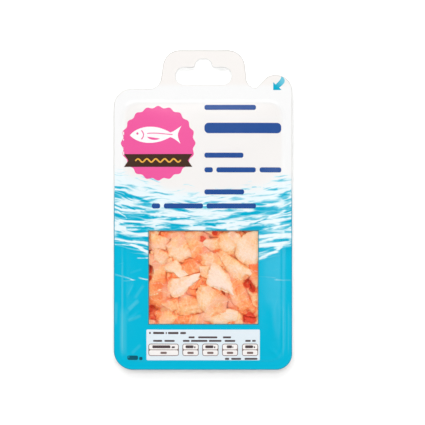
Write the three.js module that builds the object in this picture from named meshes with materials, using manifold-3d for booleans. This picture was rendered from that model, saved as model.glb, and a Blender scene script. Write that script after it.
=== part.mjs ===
// A sealed, hangable pack of smoked salmon flakes, lying on its back: a deep-drawn tray, the heap of
// flakes in it, and a clear lid film whose print leaves a square window.
// Millimetres, +Z up, +Y towards the hang tab, origin under the middle of the pack.
import * as THREE from "three";
import { mergeVertices } from "three/addons/utils/BufferGeometryUtils.js";
import Module from "manifold-3d";

const wasm = await Module();
wasm.setup();

// ---- Driving dimensions ----
const packWidth = 120;
const packLength = 215;
const trayDepth = 15; // from the resting floor to the top of the sealed flange
const webThickness = 0.6; // tray wall and flange
const filmThickness = 0.3;
const filmCrown = 2.4; // how far the film bulges over the flakes
const inkThickness = 0.12;
const faceGap = 0.05; // between sheets that lie on each other
const clearance = 0.4; // between the flakes and what holds them

const halfWidth = packWidth / 2;
const halfLength = packLength / 2;
const shoulderY = 81.5;

const hangTab = { x: 0.35, leftX: -25.6, rightX: 27.3, corner: 11.8, baseX: -29.2, fillet: 8 };
const peelTab = { topY: 90.8, corner: 10.8, innerX: 44.2, innerCorner: 9 };
const notch = { x: 35, y: 81.3, corner: 2.6, sideX: 29.4, sideY: 85.3, sideCorner: 6 };
const footCorners = { left: 13, right: 10.9 };
const shoulderCorner = 12;

const hangHole = { halfWidth: 18.65, lowY: 84.5, highY: 95.8, bumpTopY: 101.3, bumpBase: 5.8, bumpTop: 4.8 };

const cavity = { halfX: 54, halfY: 87, y: -14, corner: 10, mouthRadius: 1.2, draftDeg: 5, floorRadius: 4 };
const windowPane = { x: 0.33, y: -45.25, halfX: 36.55, halfY: 31.15, corner: 0.3 };

const arcSteps = { large: 4, small: 2, drawn: 6 }; // three.js draws an arc with twice as many straight steps
const shortestEdge = 0.01; // shorter ones collapse when solids are joined or cut

const colour = {
  tray: 0xf1f1ee,
  film: 0xf4f8fa,
  white: 0xf8f8f7,
  sea: 0x0cb8dc,
  foam: 0xe6f5f9,
  pink: 0xf05ca0,
  brown: 0x4b342a,
  gold: 0xeeb04a,
  blue: 0x2a5599,
  teal: 0x0b6f8c,
  panel: 0xe0edf5,
  rule: 0x6f5a58,
  salmon: 0xfab889,
};

// ---- Solids and meshes ----
function solidOf(geometry) {
  const bare = geometry.index ? geometry.toNonIndexed() : geometry.clone();
  bare.deleteAttribute("normal");
  bare.deleteAttribute("uv");
  const merged = mergeVertices(bare, 1e-4);
  return new wasm.Manifold(
    new wasm.Mesh({
      numProp: 3,
      vertProperties: merged.attributes.position.array,
      triVerts: new Uint32Array(merged.index.array),
      tolerance: shortestEdge,
    }),
  );
}

function meshOf(name, solid, hex, finish = {}) {
  const { vertProperties, triVerts } = solid.getMesh();
  const geometry = new THREE.BufferGeometry();
  geometry.setAttribute("position", new THREE.BufferAttribute(vertProperties, 3));
  geometry.setIndex(new THREE.BufferAttribute(triVerts, 1));
  geometry.computeVertexNormals();
  const material = new THREE.MeshStandardMaterial({ color: hex, roughness: 0.4, metalness: 0, ...finish });
  const mesh = new THREE.Mesh(geometry, material);
  mesh.name = name;
  return mesh;
}

function geometryOf(points, faces) {
  const geometry = new THREE.BufferGeometry();
  const flat = points.flatMap((p) => [p.x, p.y, p.z]);
  geometry.setAttribute("position", new THREE.BufferAttribute(new Float32Array(flat), 3));
  geometry.setIndex(faces.flat());
  return geometry;
}

// ---- Flat outlines ----
// An outline through corner points [x, y, radius], each rounded by an arc, whichever way it turns.
function roundedPath(corners, PathType = THREE.Shape) {
  const path = new PathType();
  corners.forEach(([x, y, radius], i) => {
    const corner = new THREE.Vector2(x, y);
    const before = new THREE.Vector2(...corners.at(i - 1)).sub(corner).normalize();
    const after = new THREE.Vector2(...corners[(i + 1) % corners.length]).sub(corner).normalize();
    const halfAngle = Math.acos(before.dot(after)) / 2;
    const start = corner.clone().addScaledVector(before, radius / Math.tan(halfAngle));
    const end = corner.clone().addScaledVector(after, radius / Math.tan(halfAngle));
    const centre = before.add(after).normalize().multiplyScalar(radius / Math.sin(halfAngle)).add(corner);
    const clockwise = start.clone().sub(centre).cross(end.clone().sub(centre)) < 0;
    path.absarc(centre.x, centre.y, radius, start.sub(centre).angle(), end.sub(centre).angle(), clockwise);
  });
  path.closePath();
  return path;
}

function roundedBox(x, y, halfX, halfY, radius, PathType) {
  const corners = [
    [x - halfX, y - halfY, radius],
    [x + halfX, y - halfY, radius],
    [x + halfX, y + halfY, radius],
    [x - halfX, y + halfY, radius],
  ];
  return roundedPath(corners, PathType);
}

function polygon(points) {
  return new THREE.Shape(points.map(([x, y]) => new THREE.Vector2(x, y)));
}

function packOutline() {
  return roundedPath([
    [-halfWidth, -halfLength, footCorners.left],
    [halfWidth, -halfLength, footCorners.right],
    [halfWidth, peelTab.topY, peelTab.corner],
    [peelTab.innerX, peelTab.topY, peelTab.innerCorner],
    [notch.x, notch.y, notch.corner],
    [notch.sideX, notch.sideY, notch.sideCorner],
    [hangTab.rightX, halfLength, hangTab.corner],
    [hangTab.leftX, halfLength, hangTab.corner],
    [hangTab.baseX, shoulderY, hangTab.fillet],
    [-halfWidth, shoulderY, shoulderCorner],
  ]);
}

function hangHoleOutline(PathType) {
  const { halfWidth: half, lowY, highY, bumpTopY, bumpBase, bumpTop } = hangHole;
  const endRadius = (highY - lowY) / 2 - 0.1;
  const x = hangTab.x;
  return roundedPath(
    [
      [x - half, lowY, endRadius],
      [x + half, lowY, endRadius],
      [x + half, highY, endRadius],
      [x + bumpBase, highY, 1.8],
      [x + bumpTop, bumpTopY, 4.2],
      [x - bumpTop, bumpTopY, 4.2],
      [x - bumpBase, highY, 1.8],
      [x - half, highY, endRadius],
    ],
    PathType,
  );
}

function prism(shape, low, high, steps = arcSteps.large) {
  const options = { depth: high - low, bevelEnabled: false, curveSegments: steps };
  return solidOf(new THREE.ExtrudeGeometry(shape, options).translate(0, 0, low));
}

// ---- Tray ----
// A closed solid through rings of points, each ring counter-clockwise and above the last one.
function loft(rings) {
  const count = rings[0].length;
  const points = rings.flat();
  const faces = [];
  for (let r = 0; r < rings.length - 1; r++) {
    for (let i = 0; i < count; i++) {
      const [a, b] = [r * count + i, r * count + ((i + 1) % count)];
      faces.push([a, b, b + count], [a, b + count, a + count]);
    }
  }
  const last = (rings.length - 1) * count;
  const foot = points.push(new THREE.Vector3(0, cavity.y, rings[0][0].z)) - 1;
  const top = points.push(new THREE.Vector3(0, cavity.y, rings.at(-1)[0].z)) - 1;
  for (let i = 0; i < count; i++) {
    const next = (i + 1) % count;
    faces.push([foot, next, i], [top, last + i, last + next]);
  }
  return solidOf(geometryOf(points, faces));
}

function cavityRing(inset, z, cornerSteps = 4) {
  const radius = cavity.corner - inset;
  const reachX = cavity.halfX - inset - radius;
  const reachY = cavity.halfY - inset - radius;
  const signs = [
    [1, 1],
    [-1, 1],
    [-1, -1],
    [1, -1],
  ];
  return signs.flatMap(([signX, signY], quarter) =>
    Array.from({ length: cornerSteps + 1 }, (_, step) => {
      const angle = ((quarter + step / cornerSteps) * Math.PI) / 2;
      const x = signX * reachX + radius * Math.cos(angle);
      const y = cavity.y + signY * reachY + radius * Math.sin(angle);
      return new THREE.Vector3(x, y, z);
    }),
  );
}

// The basin's rounded wall, from its floor to its mouth, grown outwards by a wall thickness.
function basin(grow) {
  const draft = THREE.MathUtils.degToRad(cavity.draftDeg);
  const { mouthRadius, floorRadius } = cavity;
  const mouthCentreZ = trayDepth - mouthRadius;
  const floorCentreZ = webThickness + floorRadius;
  const drop = mouthCentreZ - floorCentreZ;
  const across = (mouthRadius + floorRadius) / Math.cos(draft) + drop * Math.tan(draft);
  const rings = [];
  const [floorSteps, mouthSteps] = [4, 3];
  for (let step = 0; step <= floorSteps; step++) {
    const angle = draft + (1 - step / floorSteps) * (Math.PI / 2 - draft);
    const radius = floorRadius + grow;
    rings.push(cavityRing(across - radius * Math.cos(angle), floorCentreZ - radius * Math.sin(angle)));
  }
  for (let step = 0; step <= mouthSteps; step++) {
    const angle = draft + (step / mouthSteps) * (Math.PI / 2 - draft);
    const radius = mouthRadius - grow;
    rings.push(cavityRing(radius * Math.cos(angle), mouthCentreZ + radius * Math.sin(angle)));
  }
  return rings;
}

function makeTray() {
  const flangeShape = packOutline();
  flangeShape.holes.push(hangHoleOutline(THREE.Path));
  const flange = prism(flangeShape, trayDepth - webThickness, trayDepth);
  const shell = loft([...basin(webThickness), cavityRing(0, trayDepth - webThickness / 2)]);
  const hollow = loft([...basin(0), cavityRing(0, trayDepth + 1)]);
  return flange.add(shell).subtract(hollow);
}

// ---- Lid film and print ----
// Height of the film's underside above the flange: flat on the seal, crowned over the flakes.
function filmRise(x, y) {
  const u = Math.min(1, Math.abs(x) / cavity.halfX);
  const v = Math.min(1, Math.abs(y - cavity.y) / cavity.halfY);
  return filmCrown * (1 - u ** 4) * (1 - v ** 8);
}

// Lines of the sheets' grid, closest where the film bends most.
const gridShares = { across: [0.35, 0.6, 0.78, 0.9, 1], along: [0.6, 0.78, 0.88, 0.95, 1] };
const beyond = 5; // how far cutters and uncut sheets run past the pack

function gridLines(centre, half, reach, shares) {
  const lines = shares.flatMap((share) => [centre - half * share, centre + half * share]);
  return [-reach - beyond, ...lines, centre, reach + beyond].sort((a, b) => a - b);
}

// A sheet that follows the film, between two heights above the film's underside.
function crownedSheet(low, high) {
  const xs = gridLines(0, cavity.halfX, halfWidth, gridShares.across);
  const ys = gridLines(cavity.y, cavity.halfY, halfLength, gridShares.along);
  const level = (height) =>
    ys.flatMap((y) => xs.map((x) => new THREE.Vector3(x, y, trayDepth + faceGap + filmRise(x, y) + height)));
  const points = [...level(low), ...level(high)];
  const [columns, rows] = [xs.length, ys.length];
  const upper = columns * rows;
  const at = (column, row) => row * columns + column;
  const faces = [];
  for (let row = 0; row < rows - 1; row++) {
    for (let column = 0; column < columns - 1; column++) {
      const [a, b] = [at(column, row), at(column + 1, row)];
      const [c, d] = [at(column + 1, row + 1), at(column, row + 1)];
      faces.push([a, c, b], [a, d, c], [a + upper, b + upper, c + upper], [a + upper, c + upper, d + upper]);
    }
  }
  const rim = [];
  for (let column = 0; column < columns - 1; column++) rim.push(at(column, 0));
  for (let row = 0; row < rows - 1; row++) rim.push(at(columns - 1, row));
  for (let column = columns - 1; column > 0; column--) rim.push(at(column, rows - 1));
  for (let row = rows - 1; row > 0; row--) rim.push(at(0, row));
  rim.forEach((a, i) => {
    const b = rim[(i + 1) % rim.length];
    faces.push([a, b, b + upper], [a, b + upper, a + upper]);
  });
  return solidOf(geometryOf(points, faces));
}

const tall = [0, trayDepth + filmCrown + beyond]; // cutters reach through every sheet

function inkSheet(layer) {
  const low = filmThickness + faceGap + (layer - 1) * (inkThickness + faceGap);
  return crownedSheet(low, low + inkThickness);
}

const inkSheets = [1, 2, 3, 4].map(inkSheet);
const printed = (layer, shape, steps) => inkSheets[layer - 1].intersect(prism(shape, ...tall, steps));

function makeFilm() {
  const shape = packOutline();
  shape.holes.push(hangHoleOutline(THREE.Path));
  return crownedSheet(0, filmThickness).intersect(prism(shape, ...tall));
}

// Where the white ground gives way to the sea: a line with a long and a short swell
const shore = { y: 16, reach: halfWidth + beyond, steps: 30 };
const swells = [
  { height: 2.2, length: 44, phase: 0 },
  { height: 1.4, length: 19.5, phase: 1 },
];

function shoreLine() {
  return Array.from({ length: shore.steps + 1 }, (_, i) => {
    const x = -shore.reach + (2 * shore.reach * i) / shore.steps;
    const heights = swells.map((s) => s.height * Math.sin((2 * Math.PI * x) / s.length + s.phase));
    return [x, shore.y + heights[0] + heights[1]];
  });
}

// The two grounds of the print: white round the tab, sea below, both open at the window.
function makeGrounds() {
  const outline = packOutline();
  outline.holes.push(hangHoleOutline(THREE.Path));
  const { x, y, halfX, halfY } = windowPane;
  const opening = prism(roundedBox(x, y, halfX, halfY, windowPane.corner), ...tall);
  const ground = printed(1, outline).subtract(opening);
  const end = halfLength + beyond;
  const seaShape = polygon([[-shore.reach, -end], [shore.reach, -end], ...shoreLine().reverse()]);
  const landShape = polygon([
    ...shoreLine().map(([px, py]) => [px, py + faceGap]),
    [shore.reach, end],
    [-shore.reach, end],
  ]);
  return [
    meshOf("print_white_ground", ground.intersect(prism(landShape, ...tall)), colour.white),
    meshOf("print_sea_ground", ground.intersect(prism(seaShape, ...tall)), colour.sea),
  ];
}

// A streak of foam, pointed at both ends and bowed upwards like a crest.
function streakShape({ x, y, length, thick, slope }) {
  const shape = new THREE.Shape();
  const rise = slope * length;
  const [under, over] = [y - thick * 0.4, y + thick * 1.4];
  shape.moveTo(x - length / 2, y - rise / 2);
  shape.quadraticCurveTo(x, under, x + length / 2, y + rise / 2);
  shape.quadraticCurveTo(x, over, x - length / 2, y - rise / 2);
  return shape;
}

const streaks = [
  { x: -34, y: 9.5, length: 44, thick: 2.4, slope: -0.1 },
  { x: 34, y: 7, length: 40, thick: 2.6, slope: 0.12 },
  { x: -8, y: -3.4, length: 62, thick: 2.2, slope: 0.03 },
  { x: 30, y: -8.6, length: 46, thick: 2, slope: 0.08 },
  { x: -47.4, y: -18, length: 19, thick: 2.2, slope: -0.16 },
  { x: 48, y: -24, length: 19, thick: 2.4, slope: 0.3 },
];

const badge = { x: -30.1, y: 44.8, radius: 24.4, lobes: 20, lobeDepth: 0.7 };

function sealShape() {
  const count = badge.lobes * 4;
  const points = Array.from({ length: count }, (_, i) => {
    const angle = (2 * Math.PI * i) / count;
    const radius = badge.radius + badge.lobeDepth * Math.cos(badge.lobes * angle);
    return [badge.x + radius * Math.cos(angle), badge.y + radius * Math.sin(angle)];
  });
  return polygon(points);
}

const fish = { x: badge.x - 2, y: badge.y + 5.6, length: 34, height: 13 };

// A plain swimming fish, its nose to the left, with an open eye.
function fishShape() {
  const { x, y, length, height } = fish;
  const at = (along, up) => [x + along * length, y + up * height];
  const shape = new THREE.Shape();
  shape.moveTo(...at(-0.5, -0.02));
  shape.bezierCurveTo(...at(-0.36, -0.42), ...at(-0.04, -0.62), ...at(0.3, -0.12));
  shape.quadraticCurveTo(...at(0.4, -0.2), ...at(0.5, -0.46));
  shape.quadraticCurveTo(...at(0.43, 0), ...at(0.52, 0.46));
  shape.quadraticCurveTo(...at(0.4, 0.22), ...at(0.3, 0.12));
  shape.bezierCurveTo(...at(-0.02, 0.62), ...at(-0.36, 0.44), ...at(-0.5, -0.02));
  const eye = new THREE.Path();
  eye.absarc(...at(-0.35, 0.07), 0.8, 0, 2 * Math.PI);
  shape.holes.push(eye);
  return shape;
}

const ribbon = { x: badge.x, y: badge.y - 11.6, halfX: 23, halfY: 4.3, tail: 3 };

function ribbonShape() {
  const { x, y, halfX, halfY, tail } = ribbon;
  return polygon([
    [x - halfX, y - halfY],
    [x + halfX, y - halfY],
    [x + halfX - tail, y],
    [x + halfX, y + halfY],
    [x - halfX, y + halfY],
    [x - halfX + tail, y],
  ]);
}

const ribbonWave = { reach: 15, crests: 5, height: 1.1, halfStroke: 0.5 };

function ribbonWaveShape() {
  const { reach, crests, height, halfStroke } = ribbonWave;
  const steps = crests * 6;
  const line = Array.from({ length: steps + 1 }, (_, i) => {
    const share = i / steps;
    return [ribbon.x + reach * (2 * share - 1), ribbon.y + height * Math.sin(2 * Math.PI * crests * share)];
  });
  const lower = line.map(([x, y]) => [x, y - halfStroke]);
  const upper = line.map(([x, y]) => [x, y + halfStroke]);
  return polygon([...lower, ...upper.reverse()]);
}

// Plain bars stand where the pack names its contents: left end, right end, middle height, bar height.
const titleBars = [
  [1, 35.6, 68.9, 3.4],
  [1, 52.6, 55, 7],
  [1, 27.1, 36.7, 3.4],
  [1, 52.6, 26.9, 3.4],
  [1, 27.6, 12.1, 3.4],
  [-34.3, 35.6, 2.7, 3.4],
];

const panel = { x: 0.13, y: -90.58, halfX: 38.03, halfY: 10.38, corner: 0.8 };
const tableCells = { lowY: -98, highY: -89.7, ruleWidth: 0.5, corner: 1.6 };
const cellSpans = [
  [-36.6, -16.2],
  [-13.8, -2.9],
  [-0.5, 10.4],
  [12.8, 23.5],
  [26.2, 37],
];

// A table cell's outline with a rule across its middle.
function cellFrame([left, right]) {
  const { lowY, highY, ruleWidth, corner } = tableCells;
  const middle = (lowY + highY) / 2;
  const [x, halfX] = [(left + right) / 2, (right - left) / 2];
  const halfHole = (highY - lowY) / 4 - ruleWidth * 0.75;
  const shape = roundedBox(x, middle, halfX, (highY - lowY) / 2, corner);
  for (const side of [-1, 1]) {
    const y = middle + side * (halfHole + ruleWidth / 2);
    shape.holes.push(roundedBox(x, y, halfX - ruleWidth, halfHole, 0.7, THREE.Path));
  }
  return shape;
}

const weightBar = { x: -45.7, y: -99.3, halfX: 5.1, halfY: 1.9 };

const arrow = { x: 47.4, y: 80.6, head: 4.1, shaft: 1.5 };

// A curved arrow that starts at the peel tab's edge and points down into the pack.
function arrowShape() {
  const { x, y, head, shaft } = arrow;
  const shape = new THREE.Shape();
  shape.moveTo(x, y);
  shape.lineTo(x + head, y);
  shape.lineTo(x + head - 1.1, y + 1.1);
  shape.quadraticCurveTo(x + head + 4.2, y + 4.4, x + head + 1.6, y + 9.4);
  shape.quadraticCurveTo(x + head + 1.4, y + 6.6, x + head - 1.1 - shaft * 1.5, y + 1.1 + shaft * 1.5);
  shape.lineTo(x, y + head);
  return shape;
}

function makePrint() {
  const meshes = makeGrounds();
  const add = (name, layer, shape, hex, steps = arcSteps.small) => {
    meshes.push(meshOf(name, printed(layer, shape, steps), hex));
  };
  streaks.forEach((streak, i) => {
    add(`print_foam_streak_${i + 1}`, 2, streakShape(streak), colour.foam, arcSteps.large);
  });
  add("print_seal", 2, sealShape(), colour.pink);
  add("print_fish", 3, fishShape(), colour.white, arcSteps.drawn);
  add("print_ribbon", 3, ribbonShape(), colour.brown);
  add("print_ribbon_wave", 4, ribbonWaveShape(), colour.gold);
  titleBars.forEach(([left, right, y, height], i) => {
    const shape = roundedBox((left + right) / 2, y, (right - left) / 2, height / 2, height * 0.4);
    add(`print_title_bar_${i + 1}`, 3, shape, colour.blue);
  });
  add("print_table_panel", 2, roundedBox(panel.x, panel.y, panel.halfX, panel.halfY, panel.corner), colour.panel);
  cellSpans.forEach((span, i) => add(`print_table_cell_${i + 1}`, 3, cellFrame(span), colour.rule));
  const { x, y, halfX, halfY } = weightBar;
  add("print_weight_bar", 2, roundedBox(x, y, halfX, halfY, 1), colour.teal);
  add("print_peel_arrow", 2, arrowShape(), colour.sea, arcSteps.large);
  return meshes;
}

// ---- Salmon ----
// The heap is a plain core with torn flakes lying on it wherever the window shows them.
const heap = {
  coreTop: 11,
  giveWay: 0.6, // the share of a bump that a soft flake presses flat as it settles
  sunk: 0.3, // how deep a flake beds into what it lies on
  margin: 7, // how far the flakes run on past the window's edges
  cell: 1, // of the height map that the flakes settle on
  steepest: 0.34, // slope of a flake
  pressed: 1.6, // the depth over which the film flattens what reaches up to it
  seed: 20,
};

const layers = [
  { columns: 6, rows: 5, length: [21, 29], width: [15, 20], thick: [2, 3] },
  { columns: 5, rows: 4, length: [16, 26], width: [10, 16], thick: [1.8, 2.8] },
];

// The large pale flakes on top: middle, turn in degrees, length, width and thickness.
const topFlakes = [
  { x: 5.5, y: -46, turn: 118, length: 24, width: 16, thick: 2.2 },
  { x: -16.5, y: -51, turn: 20, length: 27, width: 15, thick: 2.4 },
  { x: 20.5, y: -33, turn: -38, length: 27, width: 13, thick: 2.3 },
  { x: -20, y: -38.5, turn: -28, length: 20, width: 10, thick: 2.1 },
  { x: 29.5, y: -25, turn: 62, length: 24, width: 13, thick: 2.2 },
  { x: -22, y: -21.5, turn: 74, length: 21, width: 15, thick: 2.2 },
  { x: 8, y: -64.5, turn: 24, length: 24, width: 14, thick: 2.3 },
  { x: -25.5, y: -70, turn: -12, length: 22, width: 11, thick: 2.2 },
];

// Draws from 0 up to 1 that come out the same every time
function makeDice(seed) {
  let state = seed;
  return () => {
    state = (Math.imul(state, 1664525) + 1013904223) >>> 0;
    return state / 4294967296;
  };
}

const dice = makeDice(heap.seed);
const between = (low, high) => low + (high - low) * dice();

// Corner radii, as shares of the half length and half width, make each flake its own torn shape.
function tornOutline() {
  const count = 6 + Math.floor(2 * dice());
  return Array.from({ length: count }, (_, i) => {
    const angle = (2 * Math.PI * (i + between(-0.28, 0.28))) / count;
    const share = between(0.72, 1.12);
    return [share * Math.cos(angle), share * Math.sin(angle)];
  });
}

function makeFlake({ x, y, turn, length, width, thick }) {
  const outline = tornOutline();
  return { x, y, turn, halfX: length / 2, halfY: width / 2, thick, bend: between(-0.5, 0.9), outline };
}

function scatterFlakes() {
  const { x, y, halfX, halfY } = windowPane;
  const [reachX, reachY] = [halfX + heap.margin, halfY + heap.margin];
  const flakes = [];
  for (const { columns, rows, length, width, thick } of layers) {
    for (let i = 0; i < columns * rows; i++) {
      const across = ((i % columns) + between(0.1, 0.9)) / columns;
      const along = (Math.floor(i / columns) + between(0.1, 0.9)) / rows;
      flakes.push(
        makeFlake({
          x: x + reachX * (2 * across - 1),
          y: y + reachY * (2 * along - 1),
          turn: between(0, 2 * Math.PI),
          length: between(...length),
          width: between(...width),
          thick: between(...thick),
        }),
      );
    }
  }
  for (const flake of topFlakes) flakes.push(makeFlake({ ...flake, turn: (flake.turn * Math.PI) / 180 }));
  return flakes;
}

// How far out the flake's edge lies in a direction, both in shares of its half sizes.
function edgeShare(outline, along, across) {
  for (let i = 0; i < outline.length; i++) {
    const [ax, ay] = outline[i];
    const [bx, by] = outline[(i + 1) % outline.length];
    const [sideA, sideB] = [ax * across - ay * along, along * by - across * bx];
    if (sideA >= 0 && sideB > 0) return (ax * by - ay * bx) / (along * (by - ay) - across * (bx - ax));
  }
  return 1;
}

function placeOn(flake, u, v) {
  const [cos, sin] = [Math.cos(flake.turn), Math.sin(flake.turn)];
  const [along, across] = [u * flake.halfX, v * flake.halfY];
  return [flake.x + along * cos - across * sin, flake.y + along * sin + across * cos];
}

class Ground {
  constructor() {
    this.heights = new Map();
  }

  key(x, y) {
    return `${Math.round(x / heap.cell)},${Math.round(y / heap.cell)}`;
  }

  at(x, y) {
    return this.heights.get(this.key(x, y)) ?? heap.coreTop;
  }

  // Lays the flake on what is there, tilted to it, and remembers its upper side.
  settle(flake) {
    const spots = [[0, 0]];
    for (const [u, v] of flake.outline) spots.push([u * 0.5, v * 0.5], [u * 0.9, v * 0.9]);
    const points = spots.map(([u, v]) => {
      const [x, y] = placeOn(flake, u, v);
      return { dx: x - flake.x, dy: y - flake.y, z: this.at(x, y) };
    });
    const mean = (of) => points.reduce((sum, p) => sum + of(p), 0) / points.length;
    const [mx, my, mz] = [mean((p) => p.dx), mean((p) => p.dy), mean((p) => p.z)];
    const xx = mean((p) => (p.dx - mx) ** 2);
    const yy = mean((p) => (p.dy - my) ** 2);
    const xy = mean((p) => (p.dx - mx) * (p.dy - my));
    const xz = mean((p) => (p.dx - mx) * (p.z - mz));
    const yz = mean((p) => (p.dy - my) * (p.z - mz));
    const det = xx * yy - xy * xy;
    const tilt = (slope) => THREE.MathUtils.clamp(slope, -heap.steepest, heap.steepest);
    flake.slopeX = tilt((xz * yy - yz * xy) / det);
    flake.slopeY = tilt((yz * xx - xz * xy) / det);
    flake.z = mz - flake.slopeX * mx - flake.slopeY * my;
    const proud = Math.max(...points.map((p) => p.z - flake.z - flake.slopeX * p.dx - flake.slopeY * p.dy));
    flake.z += proud * (1 - heap.giveWay) - heap.sunk;
    const reach = Math.ceil(1.2 * Math.max(flake.halfX, flake.halfY));
    for (let dx = -reach; dx <= reach; dx += heap.cell) {
      for (let dy = -reach; dy <= reach; dy += heap.cell) {
        const [cos, sin] = [Math.cos(flake.turn), Math.sin(flake.turn)];
        const along = (dx * cos + dy * sin) / flake.halfX;
        const across = (dy * cos - dx * sin) / flake.halfY;
        const share = Math.hypot(along, across);
        if (share > edgeShare(flake.outline, along / share, across / share)) continue;
        const z = flake.z + flake.slopeX * dx + flake.slopeY * dy + flake.thick;
        const key = this.key(flake.x + dx, flake.y + dy);
        this.heights.set(key, Math.max(this.heights.get(key) ?? heap.coreTop, z));
      }
    }
  }
}

// The film flattens whatever reaches up to it.
function pressUnderFilm(x, y, z) {
  const limit = trayDepth + filmRise(x, y) - clearance;
  const over = z - (limit - heap.pressed);
  return over > 0 ? limit - heap.pressed * Math.exp(-over / heap.pressed) : z;
}

function flakeSolid(flake) {
  const count = flake.outline.length;
  const { thick } = flake;
  // Each ring: share of the outline, height over the flake's underside.
  const rings = [
    [0.94, 0],
    [1, thick * 0.45],
    [0.76, thick],
  ];
  const spot = (u, v, height) => {
    const [x, y] = placeOn(flake, u, v);
    const settled = flake.z + flake.slopeX * (x - flake.x) + flake.slopeY * (y - flake.y);
    return new THREE.Vector3(x, y, pressUnderFilm(x, y, settled + height + flake.bend * u * u));
  };
  const points = rings.flatMap(([share, height]) => flake.outline.map(([u, v]) => spot(u * share, v * share, height)));
  const foot = points.push(spot(0, 0, 0)) - 1;
  const top = points.push(spot(0, 0, thick * 1.05)) - 1;
  const faces = [];
  for (let i = 0; i < count; i++) {
    const next = (i + 1) % count;
    for (let ring = 0; ring < rings.length - 1; ring++) {
      const [a, b] = [ring * count + i, ring * count + next];
      faces.push([a, b, b + count], [a, b + count, a + count]);
    }
    const last = (rings.length - 1) * count;
    faces.push([foot, next, i], [top, last + i, last + next]);
  }
  return solidOf(geometryOf(points, faces));
}

// The room inside the tray, kept clear of its wall, from just above its floor up to a height.
function roomUpTo(height) {
  const rings = basin(-clearance).filter((ring) => ring[0].z < height - 1);
  const last = rings.at(-1);
  rings.push(last.map((p) => new THREE.Vector3(p.x, p.y, height)));
  return loft(rings);
}

function makeSalmon() {
  const ground = new Ground();
  const flakes = scatterFlakes();
  flakes.forEach((flake) => ground.settle(flake));
  const core = roomUpTo(heap.coreTop);
  const joined = wasm.Manifold.union([core, ...flakes.map(flakeSolid)]).intersect(roomUpTo(trayDepth + filmCrown));
  // Only the outer body stays: closed hollows between flakes fill up.
  return joined.decompose().reduce((best, piece) => (piece.volume() > best.volume() ? piece : best));
}

const pack = new THREE.Group();
pack.add(
  meshOf("tray", makeTray(), colour.tray),
  meshOf("salmon_heap", makeSalmon(), colour.salmon, { roughness: 0.5 }),
  meshOf("lid_film", makeFilm(), colour.film, { roughness: 0.15, transparent: true, opacity: 0.2 }),
  ...makePrint(),
);

export default pack;
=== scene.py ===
# A hanging pack of smoked salmon: torn flakes in a tray, under a printed lid film with a clear window.
import math

import bpy
import numpy as np
from mathutils.geometry import delaunay_2d_cdt
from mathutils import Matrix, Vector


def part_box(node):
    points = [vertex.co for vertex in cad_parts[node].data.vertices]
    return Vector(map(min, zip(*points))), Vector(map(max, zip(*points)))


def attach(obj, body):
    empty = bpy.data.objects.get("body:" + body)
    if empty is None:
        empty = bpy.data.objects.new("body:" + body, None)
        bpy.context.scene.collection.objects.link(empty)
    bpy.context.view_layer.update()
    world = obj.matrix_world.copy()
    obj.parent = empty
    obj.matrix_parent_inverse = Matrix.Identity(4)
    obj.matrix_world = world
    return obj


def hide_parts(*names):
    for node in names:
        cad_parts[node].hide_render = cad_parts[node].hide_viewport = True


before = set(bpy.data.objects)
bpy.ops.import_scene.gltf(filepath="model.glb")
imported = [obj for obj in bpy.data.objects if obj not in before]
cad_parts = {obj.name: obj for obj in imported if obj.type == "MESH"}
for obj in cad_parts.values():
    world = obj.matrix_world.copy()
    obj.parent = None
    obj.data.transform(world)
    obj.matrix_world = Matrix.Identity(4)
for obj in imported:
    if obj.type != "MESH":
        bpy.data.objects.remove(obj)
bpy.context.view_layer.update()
mm = 0.001
print("frame loaded:", len(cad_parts), "parts")


def cornersOf(node):  # lowest and highest corner, in millimetres
    low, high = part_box(node)
    return np.array(low) / mm, np.array(high) / mm


def middleAndHalf(node):  # of its extent
    low, high = cornersOf(node)
    return (low + high) / 2, (high - low) / 2


# colours are written as a screen shows them, 0 to 255
def tint(red, green, blue, share=1.0):
    shares = [value / 255 for value in (red, green, blue)]
    linear = [s / 12.92 if s <= 0.04045 else ((s + 0.055) / 1.055) ** 2.4 for s in shares]
    return (*(value * share for value in linear), 1)


inkShare = 0.85  # print is never as white as the light that falls on it


def ink(red, green, blue):
    return tint(red, green, blue, inkShare)


def grey(value):
    return (value, value, value, 1)


class Wire:  # a socket that can take part in sums
    def __init__(self, paint, socket):
        self.paint = paint
        self.socket = socket

    def reckon(self, operation, first, second):
        return self.paint.reckon(operation, first, second)

    def __add__(self, other):
        return self.reckon("ADD", self, other)

    def __radd__(self, other):
        return self.reckon("ADD", other, self)

    def __sub__(self, other):
        return self.reckon("SUBTRACT", self, other)

    def __rsub__(self, other):
        return self.reckon("SUBTRACT", other, self)

    def __mul__(self, other):
        return self.reckon("MULTIPLY", self, other)

    def __rmul__(self, other):
        return self.reckon("MULTIPLY", other, self)

    def __truediv__(self, other):
        return self.reckon("DIVIDE", self, other)


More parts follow.
